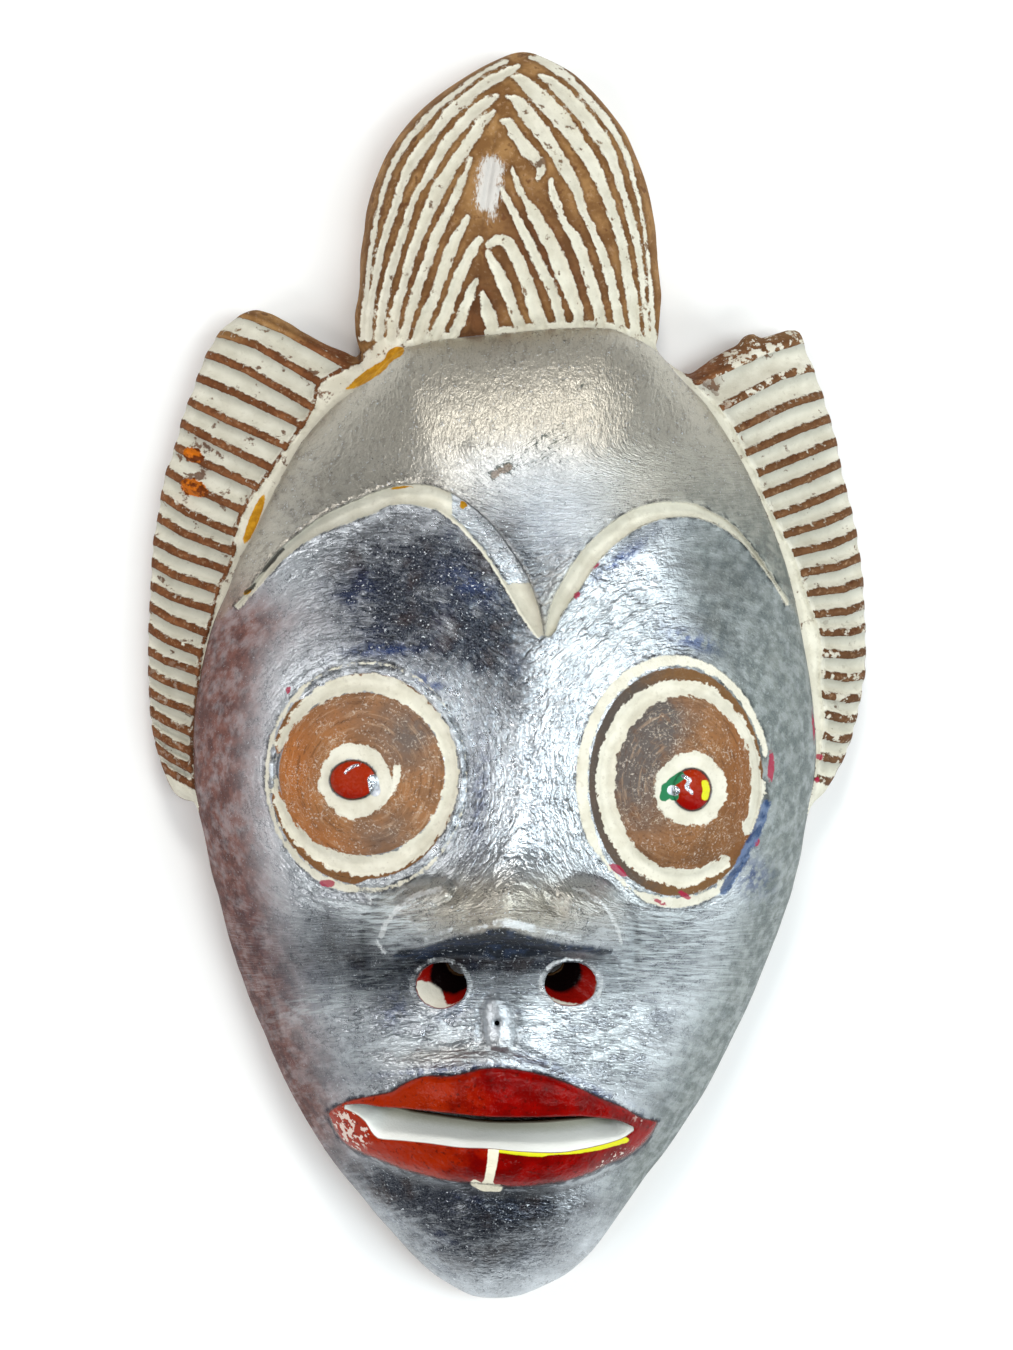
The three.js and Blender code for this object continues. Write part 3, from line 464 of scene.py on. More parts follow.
def wing_height(u, v, left):
    lines, ends = (LINES_L, ENDS_L) if left else (LINES_R, ENDS_R)
    out = line_dist(u, v, WHOLE, 130, True)[0]
    inn = line_dist(u, v, FACE, 130, True)[0]
    ed, _, side = line_dist(u, v, np.vstack([2 * ends[:1] - ends[3:4], ends]), 999)
    e = ed * (side if left else -side)  # positive on the fluted side
    ds = []
    for l in lines:
        d, _, s = line_dist(u, v, np.vstack([2 * l[:1] - l[4:5], l, 2 * l[-1:] - l[-4:-3]]), 999)
        ds.append(d * (s if left else -s))
    D = np.array(ds)  # positive below the ridge
    n = len(lines)
    above = (D > 0).sum(0)  # ridges over this point
    i0 = np.clip(above - 1, 0, n - 1)
    i1 = np.clip(above, 0, n - 1)
    ar = np.arange(u.size)
    d0, d1 = np.abs(D[i0, ar]), np.abs(D[i1, ar])
    d0 = np.where(above == 0, d1, d0)
    near = np.minimum(d0, d1)
    w = RIDGE_HALF * np.where(near == d0, np.where(i0 == 0, 1.6, 1.0), np.where(i1 == 0, 1.6, 1.0))
    gap = np.maximum(d0 + d1 - 2 * w, 0.1)
    x = np.clip((d0 - w) / gap, 0, 1)
    x = np.where((above == 0) | (above >= n), 0, x)
    b = np.clip((above - 1 + np.where(above >= n, 0.5, d0 / np.maximum(d0 + d1, 1e-6))) / (n - 1), 0, 1)
    a = inn / np.maximum(inn + out, 1e-6)
    base = mix(mix(30, 21, b), mix(17, 15, b), a)
    base = base - 3.6 * (1 - np.sqrt(1 - (1 - np.clip(out, 0, 13) / 13) ** 2))
    on = sm(0.3, 4.5, e)
    cut = 2.5 * np.sin(np.pi * x) ** 0.75 * on
    bead = 0.45 * np.clip(1 - (near / w) ** 2, 0, 1) * sm(-1, 2, e)
    sunk = np.where(e < 0, 1.3 * sm(0.4, 2.6, -e), 0)
    z = base - cut + bead - sunk
    paint = np.where(x > 0, np.minimum(near - w, e - (1.8 if left else -1.0)), -near - 1)
    paint = np.where(e < (-0.8 if left else 0.5), np.maximum(paint, -e - (1.6 if left else -0.6)), paint)
    paint = np.where(above >= n, np.minimum(near - w, 20), paint)
    xx, yy = (u - U0) * K, (V0 - v) * K
    # painted shade in the upper part of each flute, under the ridge above
    shade = np.where((x > 0) & (e > 0), (1 - x) ** 1.6 * sm(0, 0.06, x), 0)
    return z + 0.10 * noise2(xx / 2.6, yy / 2.6, 21) + 0.2 * noise2(xx / 11, yy / 11, 22), paint, e, shade, x


def surface(u, v):
    """Height and paint fields of the whole front."""
    u, v = np.asarray(u, float), np.asarray(v, float)
    z = np.zeros(u.shape)
    F = {k: np.full(u.shape, -30.0) for k in ("silver", "white", "disc", "lip", "band")}
    for k in ("above", "shade", "phase"):
        F[k] = np.zeros(u.shape)
    head = sdf(u, v, FACE, 60)
    F["silver"] = head
    m = head > 0
    zz, band, above = face_height(u[m], v[m])
    z[m] = zz
    F["band"][m] = band
    F["above"][m] = above
    rest = ~m
    cr = rest & (v < 372) & (u > 353) & (u < 668) & ~((v > 352) & (u < 362)) & ~((v > 347) & (u > 657))
    zz, p = crest_height(u[cr], v[cr])
    z[cr] = zz
    F["white"][cr] = p
    for left in (True, False):
        w = rest & ~cr & ((u < 420) if left else (u > 600))
        zz, p, e, sh, x = wing_height(u[w], v[w], left)
        z[w] = zz
        F["white"][w] = p
        F["shade"][w] = sh
        F["phase"][w] = np.where(e > 3, x, 0)
    return z, F


# ------------------------------------------------------------------ point set
def hexgrid(h, x0=140, x1=875, y0=45, y1=1305):
    ys = np.arange(y0, y1, h * 0.8660254)
    xs = np.arange(x0, x1, h)
    X, Y = np.meshgrid(xs, ys)
    X = X + (np.arange(len(ys)) % 2)[:, None] * h / 2
    return X.ravel(), Y.ravel()


outer = resample(WHOLE, 3.1, True)
# ridge ends stand proud of the flange's outline
probe = offset(outer, 2.0, True)
scallop = surface(probe[:, 0], probe[:, 1])[1]["phase"]
outer = offset(outer, 1.0, True) * (1.3 * np.sin(np.pi * scallop))[:, None] + outer * (1 - 1.3 * np.sin(np.pi * scallop))[:, None]
rows = []


def row(P, offs, closed=False):
    for d in offs:
        rows.append(offset(P, d, closed) if d else np.asarray(P, float))


row(resample(FACE, 3.0, True), (-0.45, 0.45, 1.8, 4.0), True)
row(outer, (1.2, 3.2), True)
for P in (BL_UP, BL_LO, BR_UP, BR_LO):
    row(resample(P, 2.6), (-0.5, 0.5, 2.1))
for rings in EYES:
    for i, e in enumerate(rings):
        if i in (1, 7, 13):
            continue
        row(ellipse(e, int(2 * math.pi * math.sqrt(e[2] * e[3]) / (3.2 if i < 11 else 2.4))), (0,), True)
row(resample(LIP_T, 2.6), (-0.6, 0.6, 2.2))
row(resample(LIP_B, 2.6), (-0.6, 0.6, 2.6))
nf = np.stack([np.arange(374, 622, 2.6), nose_front(np.arange(374, 622, 2.6))], -1)
row(nf, (-2.4, 0, 2.4, 5.5, 9, 13))
mt = np.stack([np.arange(330, 655, 3.0), muzzle_top(np.arange(330, 655, 3.0))], -1)
row(mt, (-2.4, 0, 2.4))
for lines in (LINES_L, LINES_R):
    for i, l in enumerate(lines):
        w = RIDGE_HALF * (1.6 if i == 0 else 1)
        row(resample(l, 2.7), (-w - 1.0, -w + 0.5, 0, w - 0.5, w + 1.0))
for ends in (ENDS_L, ENDS_R):
    row(resample(ends, 2.6), (-1.6, 1.6) if ends is ENDS_L else (-1.6, 1.6))
for s, at_, half_ in STROKES:
    r_ = resample(s, 2.9)
    w_ = np.interp(np.linspace(0, 1, len(r_)), at_, half_) * 0.94 - 0.1
    for share_ in (-1.08, -0.8, 0, 0.8, 1.08):
        rows.append(r_ + (offset(r_, 1.0) - r_) * (share_ * w_)[:, None])
t = np.linspace(0, 2 * np.pi, 12, endpoint=False)
rows.append(np.stack([497 + 1.6 * np.cos(t), 1023 + 1.6 * np.sin(t)], -1))
rows.append(np.stack([497 + 3.4 * np.cos(t), 1023 + 3.4 * np.sin(t)], -1))

# Loops that bound holes of the front: nostrils and mouth slot.
holes = [ellipse(n[0], 44) for n in NOSTRILS]
slot_top, slot_bot = resample(SLOT_T, 5.0), resample(SLOT_B, 5.0)
nslot = 60
slot_top = resample(SLOT_T, np.hypot(*(SLOT_T[1:] - SLOT_T[:-1]).T).sum() / nslot)
slot_bot = resample(SLOT_B, np.hypot(*(SLOT_B[1:] - SLOT_B[:-1]).T).sum() / nslot)
slot_loop = np.vstack([slot_top, slot_bot[::-1]])
holes.append(slot_loop)
for h in holes[:2]:
    row(h, (-2.0, -5.0) if False else (0,), True) if False else None
for (e, _) in NOSTRILS:
    row(ellipse(e, 44, 2.0), (0,), True)
    row(ellipse(e, 44, 5.0), (0,), True)
row(slot_top, (-2.0,))
row(slot_bot, (2.0,))

fixed = np.vstack([outer] + holes)
feat = np.vstack(rows)
scale = 2.0  # cells per unit of the occupancy map
occ = np.zeros((int(900 * scale), int(1320 * scale)), bool)


def cell(P):
    return np.clip((P[:, 0] * scale).astype(int), 0, occ.shape[0] - 1), np.clip((P[:, 1] * scale).astype(int), 0, occ.shape[1] - 1)


def dilated(r):
    k = int(math.ceil(r * scale))
    out = np.zeros_like(occ)
    base = occ
    for i in range(-k, k + 1):
        for j in range(-k, k + 1):
            if math.hypot(i, j) <= r * scale:
                out |= np.roll(np.roll(base, i, 0), j, 1)
    return out


ok = sdf(feat[:, 0], feat[:, 1], outer, 5) > 0.9
for h in holes:
    ok &= sdf(feat[:, 0], feat[:, 1], h, 5) < -1.2
feat = feat[ok]
occ[cell(fixed)] = True
block = dilated(0.9)
keep = ~block[cell(feat)]
feat = feat[keep]
# one feature point per quarter unit
key = np.round(feat / 0.6).astype(int)
_, first = np.unique(key, axis=0, return_index=True)
feat = feat[np.sort(first)]
occ[cell(feat)] = True

pts = [fixed, feat]
grow = 1.0
zones = []
for h, want in ((2.35, "edge"), (2.95, "detail"), (4.3, "plain")):
    h *= grow
    x, y = hexgrid(h)
    m = sdf(x, y, outer, 5) > 1.4
    for q in holes:
        m &= sdf(x, y, q, 5) < -1.6
    x, y = x[m], y[m]
    head = inside(x, y, FACE)
    det = head & (((x > 366) & (x < 632) & (y > 856) & (y < 1050)) | ((x > 316) & (x < 668) & (y > 1030) & (y < 1200)))
    for rings in EYES:
        det |= head & (ell_sd(x, y, rings[0]) > -6)
    sel = {"edge": ~head, "detail": det, "plain": head & ~det}[want]
    x, y = x[sel], y[sel]
    block = dilated(0.62 * h)
    P = np.stack([x, y], -1)
    P = P[~block[cell(P)]]
    # a little jitter keeps the facets from lining up
    rng = np.random.default_rng(7)
    P = P + (rng.random(P.shape) - 0.5) * 0.35 * h
    pts.append(P)
    print("zone", want, len(P))
pts = np.vstack(pts)
print("front points", len(pts), "features", len(feat))


def loop_edges(lengths):
    e, k = [], 0
    for n in lengths:
        e += [(k + i, k + (i + 1) % n) for i in range(n)]
        k += n
    return e


out = delaunay_2d_cdt([Vector(p) for p in pts.tolist()], loop_edges([len(outer)] + [len(h) for h in holes]), [], 0, 1e-5)
tri = np.array([list(f) for f in out[2]])
xy = np.array([list(p) for p in out[0]])
assert len(xy) == len(pts), (len(xy), len(pts))
c = xy[tri].mean(1)
good = sdf(c[:, 0], c[:, 1], outer, 6) > 0.01
for h in holes:
    good &= ~inside(c[:, 0], c[:, 1], h)
tri = tri[good]
# front faces turn counter-clockwise seen from the front: v runs down
a, b, c3 = xy[tri[:, 0]], xy[tri[:, 1]], xy[tri[:, 2]]
area = (b[:, 0] - a[:, 0]) * (c3[:, 1] - a[:, 1]) - (c3[:, 0] - a[:, 0]) * (b[:, 1] - a[:, 1])
tri[area > 0] = tri[area > 0][:, ::-1]
tri = tri[np.abs(area) > 1e-6]

# Loop points are judged just inside the outline and just outside the holes.
judge = xy.copy()
n0 = len(outer)
judge[:n0] = offset(outer, 0.35, True)
at = n0
for h in holes:
    k = len(h)
    cen = h.mean(0)
    dirs = h - cen
    judge[at:at + k] = h + 0.4 * dirs / np.maximum(np.hypot(dirs[:, 0], dirs[:, 1]), 1e-6)[:, None]
    at += k
z, F = surface(judge[:, 0], judge[:, 1])
head_d = sdf(xy[:, 0], xy[:, 1], FACE, 130)
front = place(xy[:, 0], xy[:, 1], z)
print("front", len(front), "triangles", len(tri))

verts = [front]
faces = [tri]
count = len(front)
U, V = [xy[:, 0]], [xy[:, 1]]
# zone of each vertex: 0 front, 1 side wall, 2 back, 3 nostril wall, 4 slot wall
zone = [np.zeros(len(front))]
depth = [np.zeros(len(front))]


def add_verts(P, u, v, zn, dp=0.0):
    global count
    verts.append(P)
    U.append(np.broadcast_to(u, (len(P),)).astype(float))
    V.append(np.broadcast_to(v, (len(P),)).astype(float))
    zone.append(np.full(len(P), float(zn)))
    depth.append(np.broadcast_to(dp, (len(P),)).astype(float))
    count += len(P)
    return np.arange(count - len(P), count)


def strip(A, B, closed=True):
    """Quads between two loops of the same length, as triangles."""
    n = len(A)
    i = np.arange(n if closed else n - 1)
    j = (i + 1) % n
    faces.append(np.stack([A[i], B[i], B[j]], -1))
    faces.append(np.stack([A[i], B[j], A[j]], -1))


# ------------------------------------------------------------------ side wall
def wing_lift(u, v):
    d = line_dist(u, v, FACE, 60, True)[0]
    side = (~inside(u, v, FACE)) & ((v > 372) | (u < 353) | (u > 668))
    return np.where(side, 4 * sm(6, 45, d), 0)


loop = np.arange(n0)
lu, lv = outer[:, 0], outer[:, 1]
top = front[:n0]
lift = wing_lift(lu, lv)
inn = np.stack([*(top[:, :2] - offset(top[:, :2], 1.0, True)).T], -1)
notch = sm(3, 14, np.minimum(np.hypot(lu - 358, lv - 356), np.hypot(lu - 661, lv - 356)))
rim = []
for share, push in ((0.14, -0.10), (0.5, 0.0), (0.86, 0.15), (1.0, 0.9)):
    zz = mix(top[:, 2], lift + (0.0 if share == 1 else 0.7), share if share < 1 else 1.0)
    if share == 1.0:
        zz = lift
    wob = 0.25 * noise2(lu / 14, lv / 14, 31) * np.sin(math.pi * share)
    P = np.column_stack([top[:, :2] + inn * ((push + wob) * notch)[:, None], zz])
    rim.append(add_verts(P, lu, lv, 1, share))
prev = loop
for r in rim:
    strip(prev, r)
    prev = r
bottom = prev
bot_xy = verts[-1][:, :2]

# ------------------------------------------------------------------ back
mid = place(np.array([CU]), np.array([CV]), np.array([0.0]))[0, :2]


def bowl(x, y):
    th = np.arctan2(y - mid[1], x - mid[0])
    wide = K * reach(th) * (1 - edge_height(th) / SIGHT) - RIM
    q = np.hypot(x - mid[0], y - mid[1]) / wide
    z = (CROWN_Z - WALL) * (1 - np.clip(q, 0, 1) ** 3.2) ** 0.52
    # gouge facets of the hollow
    f = 0.35 * noise2(x / 7, y / 10, 41) + 0.22 * np.abs(noise2(x / 4, y / 6, 42))
    return np.where(q < 1, np.maximum(z + f * sm(0, 0.05, 1 - q), 0.0), 0.0), q, th, wide


th = np.linspace(0, 2 * np.pi, 260, endpoint=False)
wide = K * reach(np.arctan2(np.sin(th), np.cos(th))) * (1 - edge_height(np.arctan2(np.sin(th), np.cos(th))) / SIGHT) - RIM
bpts = [bot_xy]
bh = []  # loops of the holes on the back
for (e, (bu, bv)) in NOSTRILS:
    p0 = place(np.array([e[0]]), np.array([e[1]]), np.array([67.0]))[0]
    p1 = place(np.array([bu]), np.array([bv]), np.array([42.0]))[0]
    zc = 55.0
    c0 = p1 + (p0 - p1) * (zc - p1[2]) / (p0[2] - p1[2])
    ang = np.linspace(0, 2 * np.pi, 44, endpoint=False)
    c0 = c0 + np.array([2.6 if bu < 506 else -2.8, 2.4, 0])
    bh.append(np.stack([c0[0] + 3.9 * np.cos(ang), c0[1] - 3.6 * np.sin(ang)], -1))
# back of the slot: a thinner slit higher up
su = np.interp(slot_top[:, 0], [344, 634], [364, 618])
st = np.column_stack([su, at_u(SLOT_T, su) - 15])
sb = np.column_stack([np.interp(slot_bot[:, 0], [344, 634], [364, 618]), at_u(SLOT_T, np.interp(slot_bot[:, 0], [344, 634], [364, 618])) + np.interp(slot_bot[:, 0], [344, 360, 400, 600, 622, 634], [-14, -2, 3.2, 3.0, 1, -14])])
sl = np.vstack([st, sb[::-1]])
bh.append(place(sl[:, 0], sl[:, 1], np.full(len(sl), 46.0))[:, :2])
bpts += bh
fixed_b = np.vstack(bpts)
ring_rows = []
for q in (1.004, 0.996, 0.985, 0.965, 0.94, 0.91):
    ring_rows.append(np.stack([mid[0] + q * wide * np.cos(th), mid[1] + q * wide * np.sin(th)], -1))
ring_rows = np.vstack(ring_rows)
for h in bh:
    pass


def far_from(P, Q, r):
    """Points of P at least r from all of Q (both in mm)."""
    s = 2.0
    g = np.zeros((460, 760), bool)
    ix = lambda A: (np.clip(((A[:, 0] + 115) * s).astype(int), 0, 459), np.clip(((A[:, 1] + 190) * s).astype(int), 0, 759))
    g[ix(Q)] = True
    k = int(math.ceil(r * s))
    o = np.zeros_like(g)
    for i in range(-k, k + 1):
        for j in range(-k, k + 1):
            if math.hypot(i, j) <= r * s:
                o |= np.roll(np.roll(g, i, 0), j, 1)
    return ~o[ix(P)]


def in_back(P):
    m = sdf(P[:, 0], P[:, 1], bot_xy, 4) > 0.5
    for h in bh:
        m &= sdf(P[:, 0], P[:, 1], h, 4) < -0.5
    return m


ring_rows = ring_rows[in_back(ring_rows)]
ring_rows = ring_rows[far_from(ring_rows, fixed_b, 0.5)]
hb = (2.3)
gy = np.arange(-172, 173, hb * 0.866)
gx = np.arange(-100, 101, hb)
X, Y = np.meshgrid(gx, gy)
X = X + (np.arange(len(gy)) % 2)[:, None] * hb / 2
G = np.stack([X.ravel(), Y.ravel()], -1)
G = G[in_back(G)]
G = G[far_from(G, np.vstack([fixed_b, ring_rows]), hb * 0.55)]
bp = np.vstack([fixed_b, ring_rows, G])
out = delaunay_2d_cdt([Vector(p) for p in bp.tolist()], loop_edges([len(bot_xy)] + [len(h) for h in bh]), [], 0, 1e-6)
bt = np.array([list(f) for f in out[2]])
bxy = np.array([list(p) for p in out[0]])
assert len(bxy) == len(bp)
c = bxy[bt].mean(1)
good = sdf(c[:, 0], c[:, 1], bot_xy, 4) > 0.003
for h in bh:
    good &= ~inside(c[:, 0], c[:, 1], h)
bt = bt[good]
a, b, c3 = bxy[bt[:, 0]], bxy[bt[:, 1]], bxy[bt[:, 2]]
area = (b[:, 0] - a[:, 0]) * (c3[:, 1] - a[:, 1]) - (c3[:, 0] - a[:, 0]) * (b[:, 1] - a[:, 1])
bt[area > 0] = bt[area > 0][:, ::-1]
bt = bt[np.abs(area) > 1e-7]
bz, bq, _, _ = bowl(bxy[:, 0], bxy[:, 1])
bu, bv = (bxy[:, 0] - SHIFT[0]) / K + U0, V0 - (bxy[:, 1] - SHIFT[1]) / K
bz = np.where(bq >= 1, wing_lift(bu, bv) + 0.12 * (1 + noise2(bxy[:, 0] / 5, bxy[:, 1] / 3, 44)) * (bq > 1.01), bz)
nb = len(bot_xy)
new = add_verts(np.column_stack([bxy[nb:], bz[nb:]]), bu[nb:], bv[nb:], 2, bq[nb:])
index = np.concatenate([bottom, new])
faces.append(index[bt])
print("back points", len(bxy), "triangles", len(bt))

# ------------------------------------------------------------------ tunnels
fstart, bstart = n0, 0
for k, (hf, hb_) in enumerate(zip(holes, bh)):
    n = len(hf)
    F0 = np.arange(fstart, fstart + n)
    B0 = new[bstart:bstart + n]
    fstart += n
    bstart += n
    P0, P1 = front[F0], np.vstack(verts)[B0]
    levels = (0.06, 0.2, 0.4, 0.6, 0.8, 0.94) if k < 2 else (0.04, 0.16, 0.32, 0.5, 0.7, 0.88)
    prev = F0
    for s in levels:
        P = mix(P0, P1, s)
        if k == 2:
            # the lower wall comes forward as a broad bevel before it turns in
            low = np.zeros(n)
            low[n // 2:] = 1
            bulge = low * 1.2 * math.sin(math.pi * min(1, s * 1.6)) * (s < 0.62)
            P = P + np.column_stack([0 * bulge, 0.0 * bulge, bulge * 0.6])
        else:
            P = P + 0.15 * np.column_stack([noise2(P[:, 0], P[:, 1] + 9 * s, 51), noise2(P[:, 0], P[:, 1] + 9 * s, 52), 0 * P[:, 0]])
        ring = add_verts(P, xy[F0, 0], xy[F0, 1], 3 + (k == 2), s)
        strip(prev, ring)
        prev = ring
    strip(prev, B0)

verts = np.vstack(verts)
faces = np.vstack(faces)
U, V, zone, depth = map(np.concatenate, (U, V, zone, depth))
print("total", len(verts), "vertices", len(faces), "triangles")

me = bpy.data.meshes.new("mask_carving")
me.vertices.add(len(verts))
me.vertices.foreach_set("co", (verts * 0.001).astype(np.float32).ravel())
me.loops.add(len(faces) * 3)
me.loops.foreach_set("vertex_index", faces.astype(np.int32).ravel())
me.polygons.add(len(faces))
me.polygons.foreach_set("loop_start", np.arange(0, len(faces) * 3, 3, dtype=np.int32))
me.polygons.foreach_set("loop_total", np.full(len(faces), 3, dtype=np.int32))
me.update(calc_edges=True)
me.validate()
import bmesh
bm = bmesh.new()
bm.from_mesh(me)
bmesh.ops.recalc_face_normals(bm, faces=bm.faces)
open_edges = sum(1 for e in bm.edges if not e.is_manifold)
print("open or non-manifold edges", open_edges)
bm.to_mesh(me)
bm.free()
for p in me.polygons:
    pass
me.polygons.foreach_set("use_smooth", np.ones(len(me.polygons), bool))
mask = bpy.data.objects.new("mask_carving", me)
bpy.context.scene.collection.objects.link(mask)
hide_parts("carved_mask")
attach(mask, "root")

# ------------------------------------------------------------------ paint fields
nv = len(me.vertices)
fu, fv = U, V
N = np.zeros(nv * 3, np.float32)
me.vertices.foreach_get("normal", N)
N = N.reshape(-1, 3)
nf_ = len(front)


def full(a, fill=-30.0):
    o = np.full(nv, float(fill))
    o[:nf_] = a
    return o


def store(name, a):
    at = me.attributes.new(name, "FLOAT", "POINT")
    at.data.foreach_set("value", np.asarray(a, np.float32))


fuv = (xy[:, 0], xy[:, 1])
x0, y0 = fuv
# white filler: brow bands, eye rings, flutes, strokes
white = F["white"].copy()
lowrim = np.where((x0 > 440) & (x0 < 545), 2.0 - line_dist(x0, y0, BL_LO, 12)[0], -9)
bl = np.minimum(F["band"] + 0.3, np.where(x0 < 544, np.maximum(452 - x0, np.minimum(x0 - 506, y0 - 583)), 30))
white = np.maximum.reduce([white, bl, lowrim])
disc = np.full(len(x0), -30.0)
ringm = np.zeros(len(x0))
for k, r in enumerate(EYES):
    s = [ell_sd(x0, y0, e) for e in r]
    thin = np.minimum(s[1] + 0.3, -s[3])
    wide_ = np.minimum(s[5], -s[8])
    inner = np.minimum(s[12] + 1.2, -s[14])
    e = EYES[k][5]
    ang = np.degrees(np.arctan2(e[1] - y0, x0 - e[0])) % 360
    turn = lambda lo, hi, soft=5: sm(lo - soft, lo + soft, ang) * (1 - sm(hi - soft, hi + soft, ang))
    if k == 0:
        # white at the left only, elsewhere the metal paint runs over the ring
        on = turn(122, 264)
        thin = thin - 0.5 - 1.9 * (1 - on)
        bd = np.minimum(s[3] - 0.3, -s[8] + 1) + 6 * (np.maximum(turn(130, 164), turn(190, 268)) - 1)
        wide_ = wide_ - 3.2 * turn(165, 184, 6)
        spur = 3.7 - line_dist(x0, y0, [(386, 796), (393, 789), (396, 780), (397, 769)], 12)[0]
        inner = np.maximum(inner, spur)
    else:
        on = np.maximum(turn(18, 218), turn(252, 298))
        thin = np.minimum(thin, -s[3] - 1.6) - 3.4 * (1 - on)
        bd = np.minimum(s[3] - 0.3, -s[8] + 1)
        wide_ = np.minimum(s[5] + 3.0 * np.maximum(1 - sm(0, 6, ang), sm(324, 332, ang)), -s[8] - 1.5 * turn(4, 40)) - 11 * turn(305, 322, 4)
    between = np.minimum(s[3], -s[5])
    white = np.maximum.reduce([white, thin, wide_, inner])
    disc = np.maximum(disc, np.minimum(s[8], -s[13]))
    disc = np.maximum(disc, bd)
    ringm = np.maximum(ringm, (between > -0.8).astype(float))
    disc = np.where(s[14] > 0, np.maximum(disc, s[14]), disc)
store("white", full(white))
store("disc", full(disc))
store("between", full(ringm, 0))
silver = full(F["silver"], -30)
wallm = zone == 1
silver[wallm] = sdf(U[wallm], V[wallm], FACE, 30) + 2.0 - 9 * sm(0.72, 1.0, depth[wallm])
store("silver", silver)
lip = np.minimum(sdf(x0, y0, np.vstack([LIP_T, LIP_B[::-1]])) + 0.4, 30)
lipf = full(lip)
store("lip", lipf)
nost = zone == 3
slotw = zone == 4
store("nostril", np.where(nost, 1.0, 0.0))
# pale crescents left inside the nostrils
na = np.degrees(np.arctan2(V - np.where(U < 506, 986, 984.5), U - np.where(U < 506, 441, 571)))  # 90 is below
cres = np.where(U < 506, 0.52 * np.exp(-(((na - 135) / 42) ** 2)) + 0.05, 0.14 * np.exp(-(((na - 120) / 60) ** 2)))
store("crescent", np.where(nost, cres - depth, -1.0))
store("slotwall", np.where(slotw, 1.0, 0.0))
store("lowside", np.where(slotw & (V > 0.5 * (at_u(SLOT_T, U) + at_u(SLOT_B, U))), 1.0, 0.0))
store("depth", depth)
store("back", np.where(zone == 2, 1.0, np.where(zone == 1, sm(0.8, 1.0, depth), 0)))
bead = np.maximum(ell_sd(x0, y0, (353, 780, 22.5, 18.8)), ell_sd(x0, y0, (692, 789.6, 18.5, 20.5)))
store("bead", full(bead))
store("across", across(fu, fv) * K * 0.001)


def blob(cx, cy, rx, ry, ang=0.0, pw=1.0):
    c_, s_ = math.cos(math.radians(ang)), math.sin(math.radians(ang))
    dx, dy = fu - cx, fv - cy
    a, b = dx * c_ + dy * s_, -dx * s_ + dy * c_
    return np.exp(-(((a / rx) ** 2 + (b / ry) ** 2) ** pw))


onfront = (zone <= 1).astype(float)
F_silver_full = full(F["silver"], -30)


def smooth_(a):
    """A 0/1 field softened over a few units of the forehead's lower edge."""
    up = np.vstack([BL_UP, BR_UP])
    d = line_dist(fu, fv, up, 30)[0]
    return a * np.clip(d / 14, 0, 1)


# painted shade: under the flutes' ridges and on the left of the brow band
store("shade", np.maximum(full(F["shade"], 0), 0.5 * blob(310, 532, 90, 26, -20)))
# thin dark lines: cracks round the lips and at the left brow's end, painted shade along the brows where the forehead
# steps down and round the eyes and pupils, and the nail hole
crack_and_shade_line = np.full(len(x0), -9.0)
lipline = np.vstack([LIP_T, LIP_B[::-1]])
for line_, half_w, closed_ in ((BL_UP, 0.7, False), (BR_UP, 0.4, False), (BR_LO, 0.5, False), (lipline, 1.0, True), (ellipse(EYES[0][1], 90), 0.3, True), (ellipse(EYES[1][1], 90), 0.3, True), (ellipse(EYES[0][4], 90), 0.1, True), (ellipse((353, 780, 23.2, 19.4), 40), 1.0, True), (ellipse((692, 789.6, 18.8, 20.8), 40), 1.0, True)):
    crack_and_shade_line = np.maximum(crack_and_shade_line, half_w - line_dist(x0, y0, line_, 9, closed_)[0])
crack_and_shade_line = np.maximum(crack_and_shade_line, 2.8 - np.hypot(x0 - 497, y0 - 1023))
crack_and_shade_line = np.maximum(crack_and_shade_line, 2.2 - line_dist(x0, y0, [(264, 570), (272, 561), (283, 549)], 9)[0])
crack_and_shade_line = np.maximum(crack_and_shade_line, 2.0 - line_dist(x0, y0, [(246, 592), (257, 584)], 9)[0])
store("crack_and_shade_line", full(crack_and_shade_line))
store("noband", 1 - full(np.clip(F["band"] + 2.5, 0, 1), 0))
store("chipped", np.clip(blob(350, 1130, 26, 26) + 0.7 * blob(615, 1160, 34, 12, -25) + 0.5 * blob(640, 1118, 16, 12) + 0.04, 0, 1))
# the nail hole painted black as shade
store("nail_hole_shade", full(2.6 - np.hypot(x0 - 497, y0 - 1023)))
scrape = np.maximum.reduce([6.0 - line_dist(x0, y0, [(494, 475), (503, 470), (509, 467)], 14)[0], 1.2 - line_dist(x0, y0, [(508, 462), (520, 457), (532, 450), (536, 442), (552, 433)], 9)[0], 0.6 - line_dist(x0, y0, [(530, 455), (548, 447), (556, 452), (560, 462)], 9)[0], 0.8 - line_dist(x0, y0, [(562, 380), (574, 386), (600, 384), (618, 398)], 9)[0]])
store("scrape", full(scrape))
smear = np.maximum(13.0 - line_dist(x0, y0, [(491, 168), (489, 186), (487, 200)], 20)[0], 5.0 - line_dist(x0, y0, [(489, 200), (492, 216)], 14)[0])
store("smear", full(smear))
